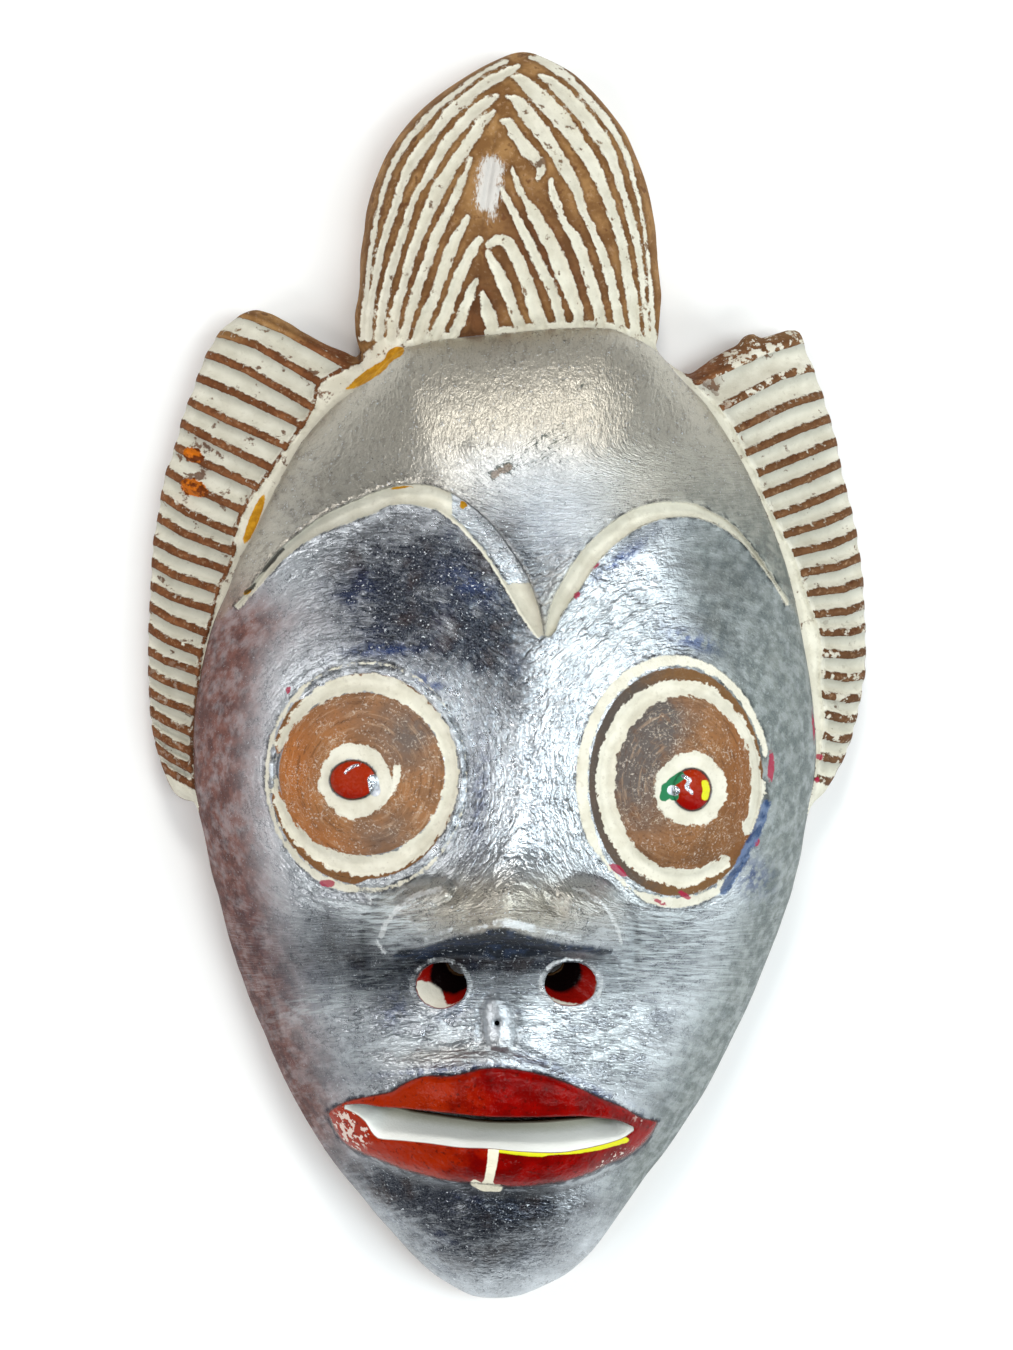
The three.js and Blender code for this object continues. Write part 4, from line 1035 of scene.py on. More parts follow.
# forehead smoothed by the brush; cheeks, nose and muzzle puckered by thick paint
calm = np.maximum(full(F["above"], 0), 1.0 * blob(498, 1022, 20, 30, 0, 2.2))
store("calm", np.where(zone == 0, smooth_(calm), 0))
tongue_ = blob(498, 1022, 19, 28, 0, 2)
rumple = (blob(655, 945, 60, 90, 15) + 0.9 * blob(600, 1050, 70, 36, 25) + 0.9 * blob(420, 1000, 90, 60) + 0.35 * blob(500, 850, 80, 40) + 0.8 * blob(330, 960, 60, 90, -15)
          + 0.6 * blob(530, 740, 70, 110) + 0.7 * blob(620, 620, 70, 60) + 0.5 * blob(440, 600, 110, 80) + 0.5 * blob(480, 1220, 110, 60) + 0.6 * blob(700, 900, 50, 50))
store("rumple", np.clip(rumple, 0, 1) * (1 - tongue_))
umber = blob(482, 318, 26, 40) + 0.8 * blob(556, 268, 30, 60, -25) + 0.6 * blob(520, 240, 40, 60) + 0.5 * blob(420, 270, 60, 60) + 0.4 * blob(600, 260, 30, 80)
store("umber", np.clip(umber, 0, 1) * (np.clip(F_silver_full, -1, 0) < 0))
wear = blob(712, 384, 13, 9, -20) + blob(768, 350, 14, 10, -30) + 0.7 * blob(740, 362, 10, 6) + 0.6 * blob(195, 470, 22, 30) + 0.6 * blob(300, 372, 40, 8, 35) + 0.5 * blob(548, 166, 20, 16)
store("wear", np.clip(wear, 0, 1))
rub = 0.5 * blob(770, 365, 50, 30, -20) + 0.16 * (fu > 640) * (fu - 640 > 0) * sm(0, 6, -F_silver_full) * sm(560, 640, fv) + 0.10 * (fu > 640) * sm(0, 6, -F_silver_full) + 0.16 * (fu < 300) * sm(600, 680, fv) * sm(0, 6, -F_silver_full)
store("rub", np.clip(rub, 0, 1) * (zone == 0))
bstroke = np.clip(1.5 - line_dist(fu, fv, [(766, 804), (758, 830), (746, 852), (733, 876), (724, 890)], 20)[0] / 5.0, 0, 1)
store("bluestroke", bstroke * onfront)
# how dark the metal paint is: partly thin paint, partly painted shade and painted dark reflection
thin_paint_and_shade = (1.0 * blob(436, 592, 112, 88, 10, 2.0) + 0.45 * blob(496, 676, 30, 66, 0, 1.5) + 0.30 * blob(345, 600, 50, 44, -30) + 0.4 * blob(472, 770, 18, 60) + 0.3 * blob(380, 652, 90, 16)
        + 0.6 * blob(330, 955, 75, 60, 35) + 0.5 * blob(400, 868, 40, 22) + 0.75 * blob(385, 975, 42, 34) + 0.5 * blob(345, 1070, 40, 26)
        + 1.0 * blob(470, 1232, 85, 50) + 1.0 * blob(392, 1186, 66, 22, 25) + 0.6 * blob(520, 1205, 90, 13) + 0.25 * blob(560, 1230, 40, 30)
        + 0.9 * blob(500, 964, 92, 10) + 0.5 * blob(441, 962, 34, 12) + 0.5 * blob(571, 962, 34, 12) + 0.6 * blob(508, 985, 34, 26)
        + 0.5 * blob(520, 690, 16, 40) + 0.45 * blob(622, 552, 46, 9, -38) + 0.4 * blob(655, 1015, 10, 26, -30) + 0.3 * blob(640, 1090, 40, 12, 25))
rim = np.full(len(fu), 99.0)
for (cu, cv, ru, rv), _ in NOSTRILS:
    rim = np.minimum(rim, np.abs((np.hypot((fu - cu) / ru, (fv - cv) / rv) - 1) * 24 - 2.5) + 6 * (fv < cv - 4))
tongue = blob(498, 1022, 17, 26, 0, 2)


def rim_at(u, v):
    out = np.full(len(u), 99.0)
    for (cu, cv, ru, rv), _ in NOSTRILS:
        out = np.minimum(out, np.abs((np.hypot((u - cu) / ru, (v - cv) / rv) - 1) * 24 - 3.2))
    return out


# kept light on the nostrils' lower rims as a painted highlight, and on the philtrum tongue, with dark lines along the
# tongue's sides
thin_paint_and_shade = thin_paint_and_shade * (1 - 0.8 * full(np.clip(F["band"] + 2.0, 0, 1), 0)) * (1 - 0.9 * np.exp(-((rim / 3.0) ** 2))) * (1 - 0.9 * tongue) + 0.3 * blob(712, 610, 46, 80) + 0.65 * blob(520, 1020, 4, 24, -8) + 0.5 * blob(478, 1024, 3.6, 20) + 0.25 * blob(503, 1012, 8, 18)
thin_paint_and_shade = thin_paint_and_shade + 0.22 * blob(540, 905, 100, 30) + 0.42 * blob(545, 540, 62, 62) * full(F["above"], 0) + 0.22 * blob(300, 500, 60, 50)
store("thin_paint_and_shade", np.clip(thin_paint_and_shade, 0, 1.15))
# tints of the metal paint, each partly the paint's own tone and partly a painted reflection of the surroundings: mauve
# on the left cheek, grey-green on the right, warm beige on the forehead and nose
hd = np.maximum(full(head_d, -30), silver)
leftside = (fu < 506).astype(float)
wide_l = np.interp(fv, [560, 620, 700, 850, 1000, 1100, 1200], [20, 60, 66, 58, 52, 40, 10])
wide_r = np.interp(fv, [380, 480, 600, 700, 820, 950, 1040, 1140, 1240], [60, 76, 112, 104, 58, 46, 46, 40, 14])
mauve_tint_and_reflection = leftside * (1 - sm(wide_l - 34, wide_l + 34, hd)) * sm(540, 640, fv) * (1 - sm(1120, 1220, fv)) + 0.28 * blob(300, 620, 50, 40)
store("mauve_tint_and_reflection", np.clip(mauve_tint_and_reflection, 0, 1))
green_tint_and_reflection = (1 - leftside) * (1 - sm(wide_r - 30, wide_r + 30, hd)) * sm(400, 560, fv) * (1 - sm(1180, 1260, fv))
store("greygreen_tint_and_reflection", np.clip(green_tint_and_reflection, 0, 1))
warm_tint_and_reflection = full(F["above"], 0) * (1 - 0.95 * blob(540, 520, 84, 66, 0, 1.5)) * (1 - 0.5 * blob(520, 470, 90, 26)) + 1.1 * blob(500, 908, 118, 34, 0, 1.6) + 0.6 * blob(445, 1055, 50, 10, -5)
store("beige_tint_and_reflection", np.clip(warm_tint_and_reflection, 0, 1))
bluep = 0.5 * blob(480, 800, 9, 50, 5) + 0.5 * blob(395, 1010, 14, 22, 30) + 0.4 * blob(470, 585, 30, 14, 30) + 0.5 * blob(455, 1010, 24, 8, -30) + 0.9 * blob(430, 682, 16, 6, 25) + 0.8 * blob(690, 640, 26, 9, 20) + 0.9 * blob(620, 560, 34, 6, -38) + 0.7 * blob(752, 876, 18, 20, -30) + 0.6 * blob(380, 650, 40, 6, -4) + 0.6 * blob(440, 1070, 60, 4, -5) + 0.6 * blob(600, 1092, 46, 4, 25) + 0.5 * blob(540, 1062, 30, 4, 15)
store("blue", np.clip(bluep, 0, 1))
discgrey = 1.1 * blob(636, 750, 40, 66, 14, 1.4) + 0.55 * blob(665, 720, 30, 26) + 0.3 * blob(650, 820, 34, 34) + 0.75 * blob(408, 735, 32, 36, 40) + 0.5 * blob(385, 838, 34, 26, -20) + 0.25 * blob(350, 712, 40, 18)
store("discgrey", np.clip(discgrey, 0, 1))
store("discdeep", np.clip(1.0 * blob(742, 800, 30, 76) + 0.8 * blob(700, 858, 50, 24) + 0.35 * blob(680, 790, 90, 90) + 0.3 * blob(300, 700, 26, 26), 0, 1))
store("discwarm", np.clip(blob(292, 770, 22, 60, 0) + 0.7 * blob(320, 845, 40, 20, 20) + 0.6 * blob(742, 780, 18, 60) + 0.3 * blob(330, 720, 30, 24), 0, 1))
crim = 1.0 * blob(327, 883, 10, 4.5, 5) + 0.9 * blob(288, 690, 4, 6, 30) + 1.0 * blob(618, 870, 14, 4.5, 32) + 1.0 * blob(684, 895, 9, 3.5, 30) + 0.9 * blob(660, 902, 10, 3, 25) + 1.0 * blob(771, 768, 4, 20, 2) + 0.9 * blob(757, 842, 4, 6, 20) + 0.8 * blob(577, 595, 6, 4, -40) + 0.7 * blob(813, 725, 2.5, 30, -4) + 0.9 * blob(820, 757, 4, 4) + 0.9 * blob(817, 780, 3.5, 4) + 0.6 * blob(596, 566, 14, 3, -42) + 0.5 * blob(693, 572, 7, 6) + 0.4 * blob(350, 652, 6, 3) + 0.45 * blob(268, 750, 2.5, 40, 4) + 0.5 * blob(576, 770, 2.5, 30) + 0.5 * blob(640, 668, 20, 2.5, -32)
store("crimson", np.clip(crim, 0, 1) * onfront)
ochre = blob(254, 520, 5.5, 30, 22) + blob(370, 374, 6, 30, 56) + 0.9 * blob(395, 352, 5, 10, 70) + 0.8 * blob(402, 488, 16, 2.6, -4) + 0.8 * blob(463, 505, 7, 5, 40) + 0.7 * blob(248, 592, 8, 3, -30)
store("ochre", np.clip(ochre, 0, 1) * onfront)
orange = blob(193, 455, 12, 8, 25) + blob(194, 488, 16, 10, 20)
store("orange", np.clip(orange, 0, 1) * onfront)
yellow = full(3.0 - line_dist(x0, y0, [(501, 1150), (520, 1152.5), (541, 1154), (548, 1152), (575, 1151), (600, 1147), (614, 1143), (626, 1140)], 12)[0])
yellow = np.maximum(yellow, full(3.6 - line_dist(x0, y0, [(705, 783), (706.5, 790), (705, 797)], 10)[0]))
store("yellow", yellow)
leaf = full(np.maximum(4.5 - line_dist(x0, y0, [(681, 776), (672, 782), (666, 790), (664, 797)], 12)[0], 5.0 - line_dist(x0, y0, [(666, 788), (674, 796)], 12)[0]))
store("leaf", leaf)
stroke = full(np.maximum(np.interp(y0, [1146, 1184], [5.6, 4.4]) - line_dist(x0, y0, [(494, 1146), (492, 1165), (488, 1184)], 14)[0], 3.6 - line_dist(x0, y0, [(474, 1183), (484, 1188), (499, 1188)], 12)[0]))
store("stroke", stroke)
# silver paint facets on the pupils, and painted highlights: wavy glints on the right pupil, a small one on the left
silver_facet_and_glint = full(np.maximum(5.5 - line_dist(x0, y0, [(373, 780), (375, 791)], 12)[0], 5.0 - line_dist(x0, y0, [(672, 790), (675, 791)], 12)[0]))
silver_facet_and_glint = np.maximum(silver_facet_and_glint, full(np.maximum(1.9 - line_dist(x0, y0, [(683, 776), (690, 780), (686, 787), (692, 793)], 8)[0], 1.5 - line_dist(x0, y0, [(345, 773), (351, 767), (361, 764)], 8)[0])))
store("silver_facet_and_glint", silver_facet_and_glint)
# painted highlights: bright lines along the tops of the nose wings, the nose tip's lower edge and round the nostrils
rib_highlights = [([(381, 936), (387, 921), (397, 909), (408, 900), (422, 893), (440, 889)], 2.4), ([(572, 888), (586, 892), (600, 901), (611, 915), (618, 930), (621, 942)], 1.5),
        ([(497, 923), (506, 922), (520, 925), (536, 929)], 3.8), ([(536, 929), (556, 933), (580, 938)], 2.4), ([(470, 930), (486, 926)], 1.6), ([(426, 940), (440, 934), (452, 929)], 1.6), ([(384, 952), (376, 941)], 1.6)]
rib_highlights = np.maximum.reduce([w_ - line_dist(x0, y0, p_, 12)[0] for p_, w_ in rib_highlights])
store("rib_highlight", full(np.maximum(rib_highlights, 1.4 - rim_at(x0, y0))))
# painted shade: a dark navy band under the nose
under_nose_shade = np.minimum(y0 - np.interp(x0, [392, 400, 425, 445, 457, 475, 490, 505, 525, 550, 575, 590, 612], [956, 950, 947, 939, 935, 934, 929, 927.5, 934, 940, 945, 946, 949]),
                   np.interp(x0, [392, 400, 425, 450, 475, 500, 525, 550, 575, 600, 612], [958, 958, 961, 956, 957, 960, 958, 955, 952, 956, 954]) - y0)
under_nose_shade = np.where((x0 > 390) & (x0 < 614), under_nose_shade, -20)
store("nose_underside_shade", full(under_nose_shade, -20))
# painted highlights on the metal, broken into a frosty crackle
frosty_highlight = (1.0 * blob(655, 945, 50, 78, 8) + 0.8 * blob(596, 1046, 70, 30, 25) + 0.5 * blob(560, 1000, 50, 22) + 0.8 * blob(392, 915, 34, 40, 30) + 0.5 * blob(350, 905, 60, 18, 20)
         + 0.5 * blob(330, 1000, 60, 16, -20) + 0.6 * blob(420, 1040, 70, 20, -15) + 0.5 * blob(590, 640, 60, 70) + 0.4 * blob(700, 940, 40, 60))
store("frosty_highlight", np.clip(frosty_highlight, 0, 1) * (1 - tongue_) * onfront)
store("scratchy", blob(536, 449, 44, 15, -30) * onfront)

# hollows and edges from the mesh itself, for painted shade in the hollows
co = verts
ed = np.zeros(len(me.edges) * 2, np.int32)
me.edges.foreach_get("vertices", ed)
ed = ed.reshape(-1, 2)


def smooth_field(a, times):
    for _ in range(times):
        s = np.bincount(ed[:, 0], a[ed[:, 1]], nv) + np.bincount(ed[:, 1], a[ed[:, 0]], nv)
        n_ = np.bincount(ed[:, 0], minlength=nv) + np.bincount(ed[:, 1], minlength=nv)
        a = 0.5 * a + 0.5 * s / np.maximum(n_, 1)
    return a


avg = np.stack([smooth_field(co[:, i], 5) for i in range(3)], -1)
curv = ((avg - co) * N).sum(1)  # + in hollows
store("hollow", np.clip(smooth_field(curv, 1) / 0.30, -1, 1))
avg = np.stack([smooth_field(avg[:, i], 30) for i in range(3)], -1)
curv = ((avg - co) * N).sum(1)
store("broad", np.clip(curv / 0.9, -1, 1))

# ------------------------------------------------------------------ material
mat = bpy.data.materials.new("painted_carving")
mat.use_nodes = True
nt = mat.node_tree
nt.nodes.clear()


def node(kind, **kw):
    n = nt.nodes.new(kind)
    for k, val in kw.items():
        setattr(n, k, val)
    return n


def put(sock, val):
    if isinstance(val, bpy.types.NodeSocket):
        nt.links.new(val, sock)
    elif isinstance(val, (tuple, list)) and len(val) == 3 and sock.type == "RGBA":
        sock.default_value = (*val, 1)
    else:
        sock.default_value = val


def m(op, a, b=None, c=None, clamp=False):
    n = node("ShaderNodeMath", operation=op, use_clamp=clamp)
    put(n.inputs[0], a)
    if b is not None:
        put(n.inputs[1], b)
    if c is not None:
        put(n.inputs[2], c)
    return n.outputs[0]


def ramp(x, a, b, lo=0.0, hi=1.0):
    n = node("ShaderNodeMapRange", interpolation_type="SMOOTHSTEP")
    put(n.inputs[0], x)
    for i, val in enumerate((a, b, lo, hi)):
        put(n.inputs[i + 1], val)
    return n.outputs[0]


def mixc(f, a, b, mode="MIX"):
    n = node("ShaderNodeMix", data_type="RGBA", blend_type=mode)
    put(n.inputs[0], f)
    put(n.inputs[6], a)
    put(n.inputs[7], b)
    return n.outputs[2]


def attr(name):
    return node("ShaderNodeAttribute", attribute_name=name).outputs["Fac"]


tc = node("ShaderNodeTexCoord").outputs["Object"]


def mapped(scale=(1, 1, 1), rot=(0, 0, 0), loc=(0, 0, 0)):
    n = node("ShaderNodeMapping")
    put(n.inputs[0], tc)
    n.inputs[1].default_value = loc
    n.inputs[2].default_value = rot
    n.inputs[3].default_value = scale
    return n.outputs[0]


def noise(scale, detail=4, rough=0.55, vec=None, dist=0.0):
    n = node("ShaderNodeTexNoise")
    put(n.inputs["Vector"], vec or tc)
    n.inputs["Scale"].default_value = scale
    n.inputs["Detail"].default_value = detail
    n.inputs["Roughness"].default_value = rough
    n.inputs["Distortion"].default_value = dist
    return n.outputs["Fac"]


def rgb(r, g, b):
    f = lambda c: (c / 255 / 12.92) if c / 255 <= 0.04045 else ((c / 255 + 0.055) / 1.055) ** 2.4
    return (f(r), f(g), f(b))


edge = noise(420, 3, 0.6)  # breaks up painted edges, about 2 mm
fine = noise(1500, 3, 0.6)
wob = m("ADD", m("MULTIPLY", m("SUBTRACT", edge, 0.5), 7.0), m("MULTIPLY", m("SUBTRACT", fine, 0.5), 3.5))
softw = m("MULTIPLY", wob, 0.45)
ragged = m("ADD", m("MULTIPLY", m("SUBTRACT", edge, 0.5), 8.5), m("MULTIPLY", m("SUBTRACT", fine, 0.5), 3.0))


def painted(name, width=0.7, bias=0.0, w=None):
    return ramp(m("ADD", m("ADD", attr(name), bias), w or softw), -width, width)


hollow, broad = attr("hollow"), attr("broad")

dx = node("ShaderNodeSeparateXYZ")
put(dx.inputs[0], tc)

patch2 = noise(150, 3, 0.62)
n260 = noise(260, 3, 0.62)
n700 = noise(700, 3, 0.68)
n1250 = noise(1250, 3, 0.65)
n95 = noise(88, 3)
dents = noise(300, 3, 0.55)
# bare wood
grain = noise(60, 4, 0.6, mapped((6, 0.7, 6)))
grain2 = noise(900, 3, 0.7, mapped((2.5, 0.35, 2.5)))
wood = mixc(ramp(grain, 0.3, 0.75), rgb(92, 56, 30), rgb(150, 98, 58))
wood = mixc(m("MULTIPLY", ramp(grain2, 0.45, 0.8), 0.45), wood, rgb(70, 42, 24))
# brown stain on ridges and seams
ridge = mixc(ramp(patch2, 0.38, 0.64), rgb(122, 86, 50), rgb(156, 118, 74))
wingm = m("MULTIPLY", ramp(dx.outputs[1], 0.094, 0.088), ramp(m("ABSOLUTE", dx.outputs[0]), 0.041, 0.044))
ridge = mixc(wingm, ridge, mixc(ramp(patch2, 0.38, 0.64), rgb(104, 62, 36), rgb(132, 84, 52)))
ridge = mixc(m("MULTIPLY", ramp(dx.outputs[0], 0.050, 0.066), 0.6), ridge, mixc(ramp(dx.outputs[1], 0.04, -0.01), rgb(104, 76, 50), rgb(82, 64, 46)))
ridge = mixc(m("MULTIPLY", ramp(n700, 0.54, 0.70), 0.5), ridge, rgb(180, 148, 116))
ridge = mixc(m("MULTIPLY", ramp(dents, 0.58, 0.70), 0.7), ridge, rgb(78, 40, 20))
# discs of the eyes: rubbed brown, turned round by the brush, under grey dust
flow = attr("across")


def strokes(along, over, detail, rough, dist=0.0, shift=0.0):
    c = node("ShaderNodeCombineXYZ")
    put(c.inputs[0], m("ADD", m("MULTIPLY", dx.outputs[0], along), shift))
    put(c.inputs[1], m("MULTIPLY", dx.outputs[1], along))
    put(c.inputs[2], m("MULTIPLY", flow, over))
    return noise(1.0, detail, rough, c.outputs[0], dist)


streak = strokes(300, 640, 3, 0.62)
brushed = strokes(700, 1500, 2, 0.6, 0.0, 7.0)
turned = strokes(120, 900, 4, 0.7, 0.0, 3.0)
discc = mixc(ramp(patch2, 0.36, 0.66), rgb(152, 106, 68), rgb(128, 92, 64))
discc = mixc(m("MULTIPLY", attr("discwarm"), 0.75), discc, rgb(176, 104, 48))
discc = mixc(m("MULTIPLY", attr("discgrey"), ramp(n260, 0.26, 0.52, 0.6, 1.1), clamp=True), discc, rgb(94, 90, 88))
discc = mixc(m("MULTIPLY", ramp(turned, 0.54, 0.68), 0.55), discc, rgb(80, 54, 38))
discc = mixc(m("MULTIPLY", ramp(turned, 0.46, 0.34), 0.40), discc, rgb(186, 156, 128))
dust = m("MULTIPLY", ramp(fine, 0.54, 0.66), ramp(n260, 0.42, 0.60, 0.0, 1.0))
discc = mixc(m("MULTIPLY", attr("discdeep"), 0.55), discc, rgb(100, 66, 38))
discc = mixc(m("MULTIPLY", dust, 0.60), discc, rgb(212, 200, 186))
scr = m("ABSOLUTE", m("SUBTRACT", noise(620, 1, 0.5), 0.5))
scr = m("MULTIPLY", ramp(scr, 0.004, 0.014, 1.0, 0.0), ramp(n95, 0.50, 0.56))
discc = mixc(m("MULTIPLY", scr, 0.55), discc, rgb(206, 190, 168))
discc = mixc(m("MULTIPLY", ramp(n1250, 0.56, 0.66), 0.40), discc, rgb(64, 46, 36))

# white filler, darkened by painted shade in hollows, under the flutes' ridges and at the left of the brow band
kao = mixc(ramp(patch2, 0.35, 0.70), rgb(222, 218, 203), rgb(206, 201, 184))
kao = mixc(m("MULTIPLY", ramp(n700, 0.56, 0.70), 0.35), kao, rgb(176, 168, 152))
kao = mixc(m("MULTIPLY", ramp(hollow, 0.15, 0.9), 0.35), kao, rgb(168, 164, 150))
kao = mixc(m("MULTIPLY", attr("shade"), 0.62), kao, rgb(138, 140, 136))

# silver paint
grain_ = noise(2300, 2, 0.6)
worms = m("ABSOLUTE", m("SUBTRACT", noise(820, 1, 0.5), 0.5))
worms = m("MULTIPLY", ramp(worms, 0.012, 0.045, 1.0, 0.0), m("MULTIPLY", ramp(n260, 0.46, 0.60), m("SUBTRACT", 1.0, m("MULTIPLY", attr("calm"), 0.8))))
folds = strokes(150, 400, 2, 0.5, 0.0, 13.0)
fold = m("ABSOLUTE", m("SUBTRACT", folds, 0.5))
rump = attr("rumple")
crease = m("MULTIPLY", ramp(fold, 0.004, 0.030, 1.0, 0.0), m("MULTIPLY", rump, ramp(n95, 0.42, 0.56)))
calm_ = attr("calm")
pits = m("MULTIPLY", ramp(n1250, 0.60, 0.67), ramp(patch2, 0.40, 0.60))
thin_paint_and_shade_a = attr("thin_paint_and_shade")
mauve_refl = m("MULTIPLY", attr("mauve_tint_and_reflection"), ramp(m("ADD", m("MULTIPLY", patch2, 0.5), m("MULTIPLY", streak, 0.5)), 0.36, 0.56, 0.74, 1.0))
greygreen_refl = m("MULTIPLY", attr("greygreen_tint_and_reflection"), ramp(m("ADD", m("MULTIPLY", n260, 0.5), m("MULTIPLY", streak, 0.5)), 0.38, 0.56, 0.78, 1.0))
beige_refl = attr("beige_tint_and_reflection")
lite = mixc(ramp(n95, 0.3, 0.7), rgb(208, 214, 220), rgb(182, 188, 194))
# painted reflections mixed with the paint's own tone: warm beige, mauve and grey-green
lite = mixc(m("MULTIPLY", beige_refl, 0.9), lite, rgb(186, 180, 166))
dull = m("MAXIMUM", m("MULTIPLY", mauve_refl, 0.95), m("MULTIPLY", greygreen_refl, 0.9))
lite = mixc(m("MULTIPLY", mauve_refl, 0.95), lite, mixc(ramp(m("ADD", m("MULTIPLY", patch2, 0.5), m("MULTIPLY", n260, 0.5)), 0.40, 0.60), rgb(118, 72, 60), rgb(84, 46, 38)))
lite = mixc(m("MULTIPLY", greygreen_refl, 0.9), lite, mixc(ramp(m("ADD", m("MULTIPLY", patch2, 0.35), m("MULTIPLY", n260, 0.65)), 0.38, 0.62), rgb(128, 134, 129), rgb(98, 106, 103)))
lite = mixc(m("MULTIPLY", m("MULTIPLY", ramp(streak, 0.50, 0.66), beige_refl), 0.30), lite, rgb(112, 104, 94))
deep = mixc(ramp(grain_, 0.40, 0.64), rgb(34, 38, 48), rgb(78, 82, 90))
deep = mixc(m("MULTIPLY", ramp(n95, 0.50, 0.64), 0.55), deep, rgb(62, 50, 46))
deep = mixc(m("MULTIPLY", ramp(noise(70, 2, 0.5, mapped((1, 1, 1), (0, 0, 0), (3, 1, 0))), 0.52, 0.68), 0.55), deep, rgb(38, 48, 76))
# painted shade and dark reflection, broken by brush streaks, turn the light metal colour into the dark one
streak_and_shade_mix = m("ADD", m("MULTIPLY", thin_paint_and_shade_a, ramp(patch2, 0.25, 0.62, 0.78, 1.08)), m("MULTIPLY", m("SUBTRACT", streak, 0.52), m("ADD", m("MULTIPLY", thin_paint_and_shade_a, 1.1), 0.25)), clamp=True)
metal = mixc(streak_and_shade_mix, lite, deep)
metal = mixc(m("MULTIPLY", worms, m("SUBTRACT", 0.62, m("MULTIPLY", dull, 0.4))), metal, rgb(44, 50, 58))
metal = mixc(m("MULTIPLY", crease, 0.62), metal, rgb(36, 44, 56))
metal = mixc(m("MULTIPLY", pits, m("SUBTRACT", 0.60, m("MULTIPLY", dull, 0.35))), metal, rgb(56, 60, 66))
metal = mixc(m("MULTIPLY", ramp(grain_, 0.56, 0.70), 0.22), metal, rgb(60, 62, 66))
# painted shade in the hollows of the metal, left out in the brow bands and weaker on the beige
metal = mixc(m("MULTIPLY", ramp(hollow, 0.25, 0.9), m("MULTIPLY", attr("noband"), m("SUBTRACT", 0.5, m("MULTIPLY", beige_refl, 0.46)))), metal, rgb(46, 46, 50))
# painted highlight in a frosty crackle, with darker metal between
frosty_highlight = m("MULTIPLY", attr("frosty_highlight"), ramp(m("ADD", m("MULTIPLY", folds, 0.6), m("MULTIPLY", streak, 0.4)), 0.45, 0.55))
metal = mixc(m("MULTIPLY", frosty_highlight, 0.72), metal, rgb(226, 236, 240))
metal = mixc(m("MULTIPLY", m("MULTIPLY", attr("frosty_highlight"), ramp(m("ADD", m("MULTIPLY", folds, 0.6), m("MULTIPLY", streak, 0.4)), 0.46, 0.40)), 0.45), metal, rgb(76, 88, 102))
# a dark line where thick filler and lip paint meet the silver
brink = m("MULTIPLY", ramp(m("ADD", attr("white"), m("MULTIPLY", softw, 0.8)), -4.4, -0.8), ramp(n260, 0.44, 0.60))
metal = mixc(m("MULTIPLY", brink, 0.62), metal, rgb(36, 34, 36))
liprim = m("MULTIPLY", ramp(m("ADD", attr("lip"), m("MULTIPLY", softw, 1.5)), -4.6, -1.2), ramp(n260, 0.40, 0.54, 0.15, 1.0))
metal = mixc(m("MULTIPLY", liprim, 0.85), metal, rgb(30, 34, 50))
# painted shade under the nose
under_nose_shade = painted("nose_underside_shade", 3.0, 0.0, m("MULTIPLY", wob, 0.8))
metal = mixc(m("MULTIPLY", under_nose_shade, 0.92), metal, mixc(ramp(n260, 0.45, 0.60), rgb(14, 22, 34), rgb(34, 48, 72)))
# painted highlight lines on the nose and round the nostrils
rib_highlight_m = m("MULTIPLY", painted("rib_highlight", 1.0, 0.2, m("MULTIPLY", wob, 0.9)), ramp(n260, 0.38, 0.52, 0.25, 1.0))
metal = mixc(m("MULTIPLY", rib_highlight_m, 0.9), metal, rgb(236, 240, 242))
turn_ = node("ShaderNodeCombineXYZ")
put(turn_.inputs[0], m("ADD", m("MULTIPLY", dx.outputs[0], 190.0), m("MULTIPLY", dx.outputs[1], 110.0)))
put(turn_.inputs[1], m("SUBTRACT", m("MULTIPLY", dx.outputs[1], 1040.0), m("MULTIPLY", dx.outputs[0], 600.0)))
hatch = m("ABSOLUTE", m("SUBTRACT", noise(1.0, 1, 0.5, turn_.outputs[0]), 0.5))
hatch = m("MULTIPLY", ramp(hatch, 0.006, 0.030, 1.0, 0.0), ramp(m("MULTIPLY", attr("scratchy"), ramp(n95, 0.36, 0.52, 0.7, 1.25)), 0.34, 0.56))
metal = mixc(m("MULTIPLY", hatch, 0.75), metal, rgb(50, 62, 52))
bluem = m("MULTIPLY", attr("blue"), ramp(edge, 0.38, 0.56))
metal = mixc(bluem, metal, rgb(44, 64, 112))
# bright flecks: silver grain of the paint, painted as small highlights
fleck = m("MULTIPLY", ramp(fine, 0.60, 0.66), ramp(streak, 0.44, 0.60))
fleck = m("MULTIPLY", fleck, m("SUBTRACT", 1.0, m("MULTIPLY", dull, 0.8)))
metal = mixc(m("MULTIPLY", fleck, 0.8), metal, rgb(216, 222, 228))

# layers
Sm = painted("silver", 0.8, 0.2, m("MULTIPLY", wob, 0.22))
torn = m("MULTIPLY", ramp(attr("disc"), -8.0, 2.0), m("ADD", m("MULTIPLY", m("SUBTRACT", n260, 0.5), 10.0), m("MULTIPLY", m("SUBTRACT", edge, 0.5), 5.0)))
Wm = ramp(m("ADD", m("ADD", attr("white"), torn), m("ADD", m("MULTIPLY", m("MULTIPLY", ragged, 0.78), m("SUBTRACT", 1.0, Sm)), m("MULTIPLY", m("MULTIPLY", wob, 0.72), Sm))), -0.8, 0.8)
Dm = painted("disc", 0.8, 0.0, m("MULTIPLY", wob, 0.55))
discc = mixc(m("MULTIPLY", attr("between"), 0.85), discc, mixc(ramp(m("ADD", dx.outputs[0], m("MULTIPLY", m("SUBTRACT", edge, 0.5), 0.02)), 0.030, 0.046), mixc(ramp(dx.outputs[0], -0.005, 0.005), rgb(110, 76, 46), rgb(72, 68, 64)), rgb(108, 78, 48)))
